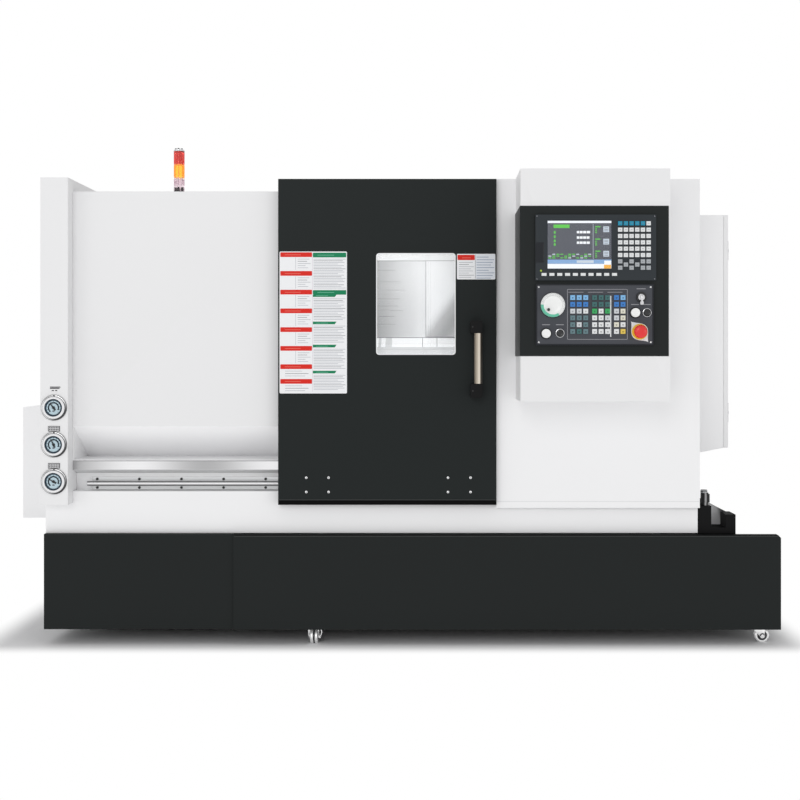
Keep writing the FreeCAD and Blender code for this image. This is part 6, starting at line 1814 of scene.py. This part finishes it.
def caster_fork(name, body, hub, along, across, width, top):
    """Raceway with its balls, two tapered pressed cheeks with bolt heads, and the axle."""
    fork = bmesh.new()
    swivel = hub - along * CASTER_TRAIL
    raceway = [(0, 0), (19.4, 0), (20, 0.8), (20, 3.4), (18.6, 4.8), (0, 4.8)]
    add_turned(fork, raceway, (swivel.x, swivel.y, top - 4.9), Z, 48, 0)
    for turn in range(12):
        angle = math.radians(30 * turn)
        spot = (swivel.x + 20 * math.cos(angle), swivel.y + 20 * math.sin(angle), top - 3.6)
        add_rod(fork, spot, Z, 2.2, 1.2, segments=10, finish=1)
    for sign in (-1, 1):
        inner, outer = sign * (width / 2 + 1.0), sign * (width / 2 + 3.4)
        start, end = hub - along * 36 + across * inner, hub + along * 8 + across * outer
        cheek = add_box(fork, (start.x, start.y, hub.z - 3), (end.x, end.y, top - 4.4), 0)
        for v in (v for v in cheek if v.co.z / MM < hub.z):
            reach = (v.co / MM - hub).dot(along)
            bmesh.ops.translate(fork, vec=along * ((-9.0 if reach < 0 else 9.0) - reach) * MM, verts=[v])
        rounded(fork, cheek, 1.0, 2)
        add_rod(fork, hub + across * inner, across * sign, 2.4, 9.2, segments=32, finish=0)
        add_rod(fork, hub + across * outer, across * sign, 2.6, 6.0, segments=6, finish=1)
    add_rod(fork, hub - across * (width / 2 + 3), across, width + 6, 3.9, segments=24, finish=0)
    # the fork's lighter steel is painted light against the shade under the machine
    finishes = ["caster_silver", "screw_steel"]
    finished(name + "_pressed", fork, finishes, body, (name,), 0.4)


def caster_wheel(name, body, hub, across, width, radius):
    """Twin wheel: two pale treads on dark cores, joined in the middle; the treads' lighter colour is painted light
    against the shade under the machine.
    """
    wheel = bmesh.new()
    length = width / 2 - 3.2
    for sign in (-1, 1):
        start = hub + across * sign * 3.2
        tread = [
            (17.4, 0), (radius - 2.6, 0), (radius, 2.2), (radius, length - 2.6), (radius - 2.4, length - 0.5),
            (20.0, length), (17.4, length - 0.6), (17.4, 0),
        ]
        add_turned(wheel, tread, start, across * sign, 64, 0)
        core = [
            (4.6, 0.2), (17.5, 0.2), (17.5, length - 1.4), (15.2, length - 3.0), (9.6, length - 3.0),
            (8.4, length - 0.4), (4.6, length - 0.4), (4.6, 0.2),
        ]
        add_turned(wheel, core, start, across * sign, 64, 1)
    add_tube(wheel, hub - across * 3.4, across, 6.8, 4.6, 15.0, 48, 1)
    finished(name + "_tyres", wheel, ["tyre_bright", "motor_paint"], body, (name,))


def brake_pedal(side, body, hub, top):
    """The left caster's curved pedal with its plate, or the small catch that shows on the right one."""
    pedal = bmesh.new()
    if side == "left":
        arc = [(20.0, 0.0), (24.5, -8.0), (26.0, -16.0), (24.0, -25.0), (18.5, -31.0)]
        for (x1, z1), (x2, z2) in zip(arc, arc[1:]):
            first = Vector((hub.x + x1, hub.y - 3, top - 2 + z1))
            second = Vector((hub.x + x2, hub.y - 3, top - 2 + z2))
            add_rod(pedal, first, second - first, (second - first).length + 0.8, 2.3, segments=16, finish=0)
        plates = (
            ((12, -8, -38), (23, 4, -31.6), 2.4),
            ((-21.4, -7, -30), (-17.6, -1, 0.4), 1.2),
            ((-17, -9, -2.4), (20, 6, 0.4), 1.2),
        )
    else:
        plates = (((-3, -26, -3.4), (7, -16, 0.3), 1.2),)
    origin = Vector((hub.x, hub.y, top))
    for low, high, radius in plates:
        add_rounded_box(pedal, origin + Vector(low), origin + Vector(high), radius, 0, segments=3)
    # the pedal takes the caster's lighter steel: painted light
    finished("brake_pedal_" + side, pedal, ["caster_silver"], body, bevel=0.3)


def caster(side):
    """One front caster; the thinner way across its wheel tells which way it is swivelled."""
    fork_node, wheel_node = "caster_fork_" + side, "caster_wheel_" + side
    fork_body, wheel_body = nodes[fork_node]["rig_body"], nodes[wheel_node]["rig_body"]
    low, high = (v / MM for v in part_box(wheel_node))
    hub, size = (low + high) / 2, high - low
    across, along = (X, -Y) if size.x < size.y else (Y, X)
    width, radius = min(size.x, size.y), max(size.x, size.y) / 2
    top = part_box(fork_node)[1].z / MM
    caster_fork(fork_node, fork_body, hub, along, across, width, top)
    caster_wheel(wheel_node, wheel_body, hub, across, width, radius)
    brake_pedal(side, fork_body, hub, top)


# ---------------------------------------------------------------- inside


def interior():
    """Castings, spindle, turret, motors and pump seen through the window or with covers off."""
    castings = ("bed_casting", 4.0, 3), ("headstock", 3.0, 3), ("saddle", 2.0, 2), ("cross_slide", 2.0, 2)
    for node, width, segments in castings:
        dressed(node, ["cast_green"], width, segments)
    for node in ("chuck_body", "spindle", "chuck_jaw_1", "chuck_jaw_2", "chuck_jaw_3"):
        dressed(node, ["turned_spindle"], 0.8)
    dressed("motor_pulley", ["turned_motor"], 0.6)
    dressed("turret_disc", ["turned_turret"], 1.0)
    dressed("drive_belt", ["belt_rubber"], 0.8)

    low, high = (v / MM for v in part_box("spindle_motor"))

    def fins(shape):
        y, z = MOTOR_AXIS
        for turn in range(24):
            made = add_box(shape, (low.x + 40, y - 2.2, z + 104), (high.x - 60, y + 2.2, z + 119.4), 0)
            turned_about(shape, made, (0, y, z), X, 15 * turn)

    dressed("spindle_motor", ["motor_paint"], 1.4, extra=fins)

    low, high = (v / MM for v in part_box("coolant_pump"))

    def pump_detail(shape):
        for z in (low.z + 0.34 * (high.z - low.z), low.z + 0.9 * (high.z - low.z)):
            add_tube(shape, (916, -227, z), Z, 4, 30, 44.6, 48, 1, 1.0)

    dressed("coolant_pump", ["motor_paint", "zinc"], 1.0, extra=pump_detail)


# ---------------------------------------------------------------- the whole machine

enclosure_sheets()
left_sheets()
right_sheet()
hood()
way_covers()
rear_sheet()
tank()
cabinet()
door()
door_handle()
placards()
rail()
console_shell()
display_housing()
screen_picture()
display_keys()
operator_panel()
panel_keys()
controls()
gauges()
lamp_tower()
roof_plates()
cabinet_inside()
anchor()
anchor_bolt()
levelling_feet()
caster("left")
caster("right")
interior()


# ---------------------------------------------------------------- stage

ROOM_LIGHT = 0.6
# the machine's footprint in metres: its middle from front to back, and half its width and depth
FOOTPRINT_Y, FOOTPRINT_HALF = 0.13, (1.36, 0.65)
SHADOW_FADE = 0.15


def distance_outside(tree, vector):
    """How far a point of the floor lies outside the footprint, in metres."""
    split = tree.nodes.new("ShaderNodeSeparateXYZ")
    tree.links.new(mapped(tree, vector, location=(0, -FOOTPRINT_Y, 0)), split.inputs[0])
    squares = []
    for axis, half in zip("XY", FOOTPRINT_HALF):
        away = maths(tree, "SUBTRACT", maths(tree, "ABSOLUTE", split.outputs[axis]), half)
        beyond = maths(tree, "MAXIMUM", away, 0.0)
        squares.append(maths(tree, "MULTIPLY", beyond, beyond))
    return maths(tree, "SQRT", maths(tree, "ADD", *squares))


def floor():
    """White floor that keeps the shadow near the machine and turns plain white further out."""
    ground = bmesh.new()
    bmesh.ops.create_grid(ground, x_segments=1, y_segments=1, size=30.0)
    mesh = bpy.data.meshes.new("floor")
    ground.to_mesh(mesh)
    ground.free()
    piece = bpy.data.objects.new("floor", mesh)
    scene.collection.objects.link(piece)
    material, tree, shader, vector = new_material("studio_floor")
    values = {"Colour": srgb(250, 250, 251), "Grain": 30.0, "Tone": 0.004, "Roughness": 0.7}
    textured(tree, shader, COAT, vector, values, 0)
    shader.inputs["Specular IOR Level"].default_value = 0.0
    fade = tree.nodes.new("ShaderNodeMapRange")
    fade.interpolation_type = "SMOOTHSTEP"
    fade.inputs["From Min"].default_value = 0.0
    fade.inputs["From Max"].default_value = SHADOW_FADE
    tree.links.new(distance_outside(tree, vector), fade.inputs["Value"])
    glow = tree.nodes.new("ShaderNodeEmission")
    glow.inputs["Color"].default_value = (1, 1, 1, 1)
    mix = tree.nodes.new("ShaderNodeMixShader")
    tree.links.new(fade.outputs["Result"], mix.inputs["Fac"])
    tree.links.new(shader.outputs[0], mix.inputs[1])
    tree.links.new(glow.outputs[0], mix.inputs[2])
    tree.links.new(mix.outputs[0], tree.nodes["Material Output"].inputs["Surface"])
    mesh.materials.append(material)


def surround():
    """White surround: plain white where it is seen or mirrored, dimmer where it lights the machine."""
    world = bpy.data.worlds.new("studio")
    world.use_nodes = True
    scene.world = world
    tree = world.node_tree
    tree.nodes.clear()
    path = tree.nodes.new("ShaderNodeLightPath")
    seen = maths(tree, "MAXIMUM", path.outputs["Is Camera Ray"], path.outputs["Is Glossy Ray"])
    seen = maths(tree, "MAXIMUM", seen, path.outputs["Is Transmission Ray"])
    mix = tree.nodes.new("ShaderNodeMixShader")
    tree.links.new(seen, mix.inputs["Fac"])
    for number, strength in ((1, ROOM_LIGHT), (2, 1.0)):
        white = tree.nodes.new("ShaderNodeBackground")
        white.inputs["Color"].default_value = (1, 1, 1, 1)
        white.inputs["Strength"].default_value = strength
        tree.links.new(white.outputs[0], mix.inputs[number])
    leave = tree.nodes.new("ShaderNodeOutputWorld")
    tree.links.new(mix.outputs[0], leave.inputs["Surface"])


def lamp(name, place, target, size, power):
    """A square soft lamp aimed at a point; places are metres."""
    data = bpy.data.lights.new(name, "AREA")
    data.shape = "SQUARE"
    data.size = size
    data.energy = power
    piece = bpy.data.objects.new(name, data)
    piece.location = place
    piece.rotation_euler = (Vector(target) - Vector(place)).to_track_quat("-Z", "Y").to_euler()
    scene.collection.objects.link(piece)


def camera():
    """The photograph's viewpoint: level, 1.008 m above the floor, with its frame shifted."""
    data = bpy.data.cameras.new("camera")
    data.sensor_width = 36.0
    data.lens = 53.8
    data.shift_x = -0.0425
    data.shift_y = -0.0525
    data.clip_end = 100.0
    piece = bpy.data.objects.new("camera", data)
    piece.location = (0.139, -4.727, 1.008)
    piece.rotation_euler = (math.pi / 2, 0, 0)
    scene.collection.objects.link(piece)
    scene.camera = piece


floor()
surround()
camera()
lamp("front_lamp", (-2.4, -12.0, 5.0), (0.0, -0.5, 0.9), 4.5, 180)
lamp("left_lamp", (-9.0, -9.0, 1.7), (0.0, 0.0, 0.8), 4.0, 84)
lamp("right_lamp", (9.0, -9.0, 1.7), (0.0, 0.0, 0.8), 4.0, 78)
lamp("top_lamp", (0.0, 0.0, 9.0), (0.0, 0.0, 0.0), 5.0, 30)
lamp("tool_lamp", (0.06, -0.42, 0.98), (0.06, 0.12, 1.1), 0.3, 0.12)
lamp("work_lamp", (0.0, -0.25, 1.48), (0.0, -0.1, 0.6), 0.4, 3.2)

scene.view_settings.view_transform = "Standard"

for node, piece in nodes.items():
    slot = SLOT_OF[node]
    for spot in piece.material_slots:
        spot.material = FINISH[SLOT_FINISH[slot]]
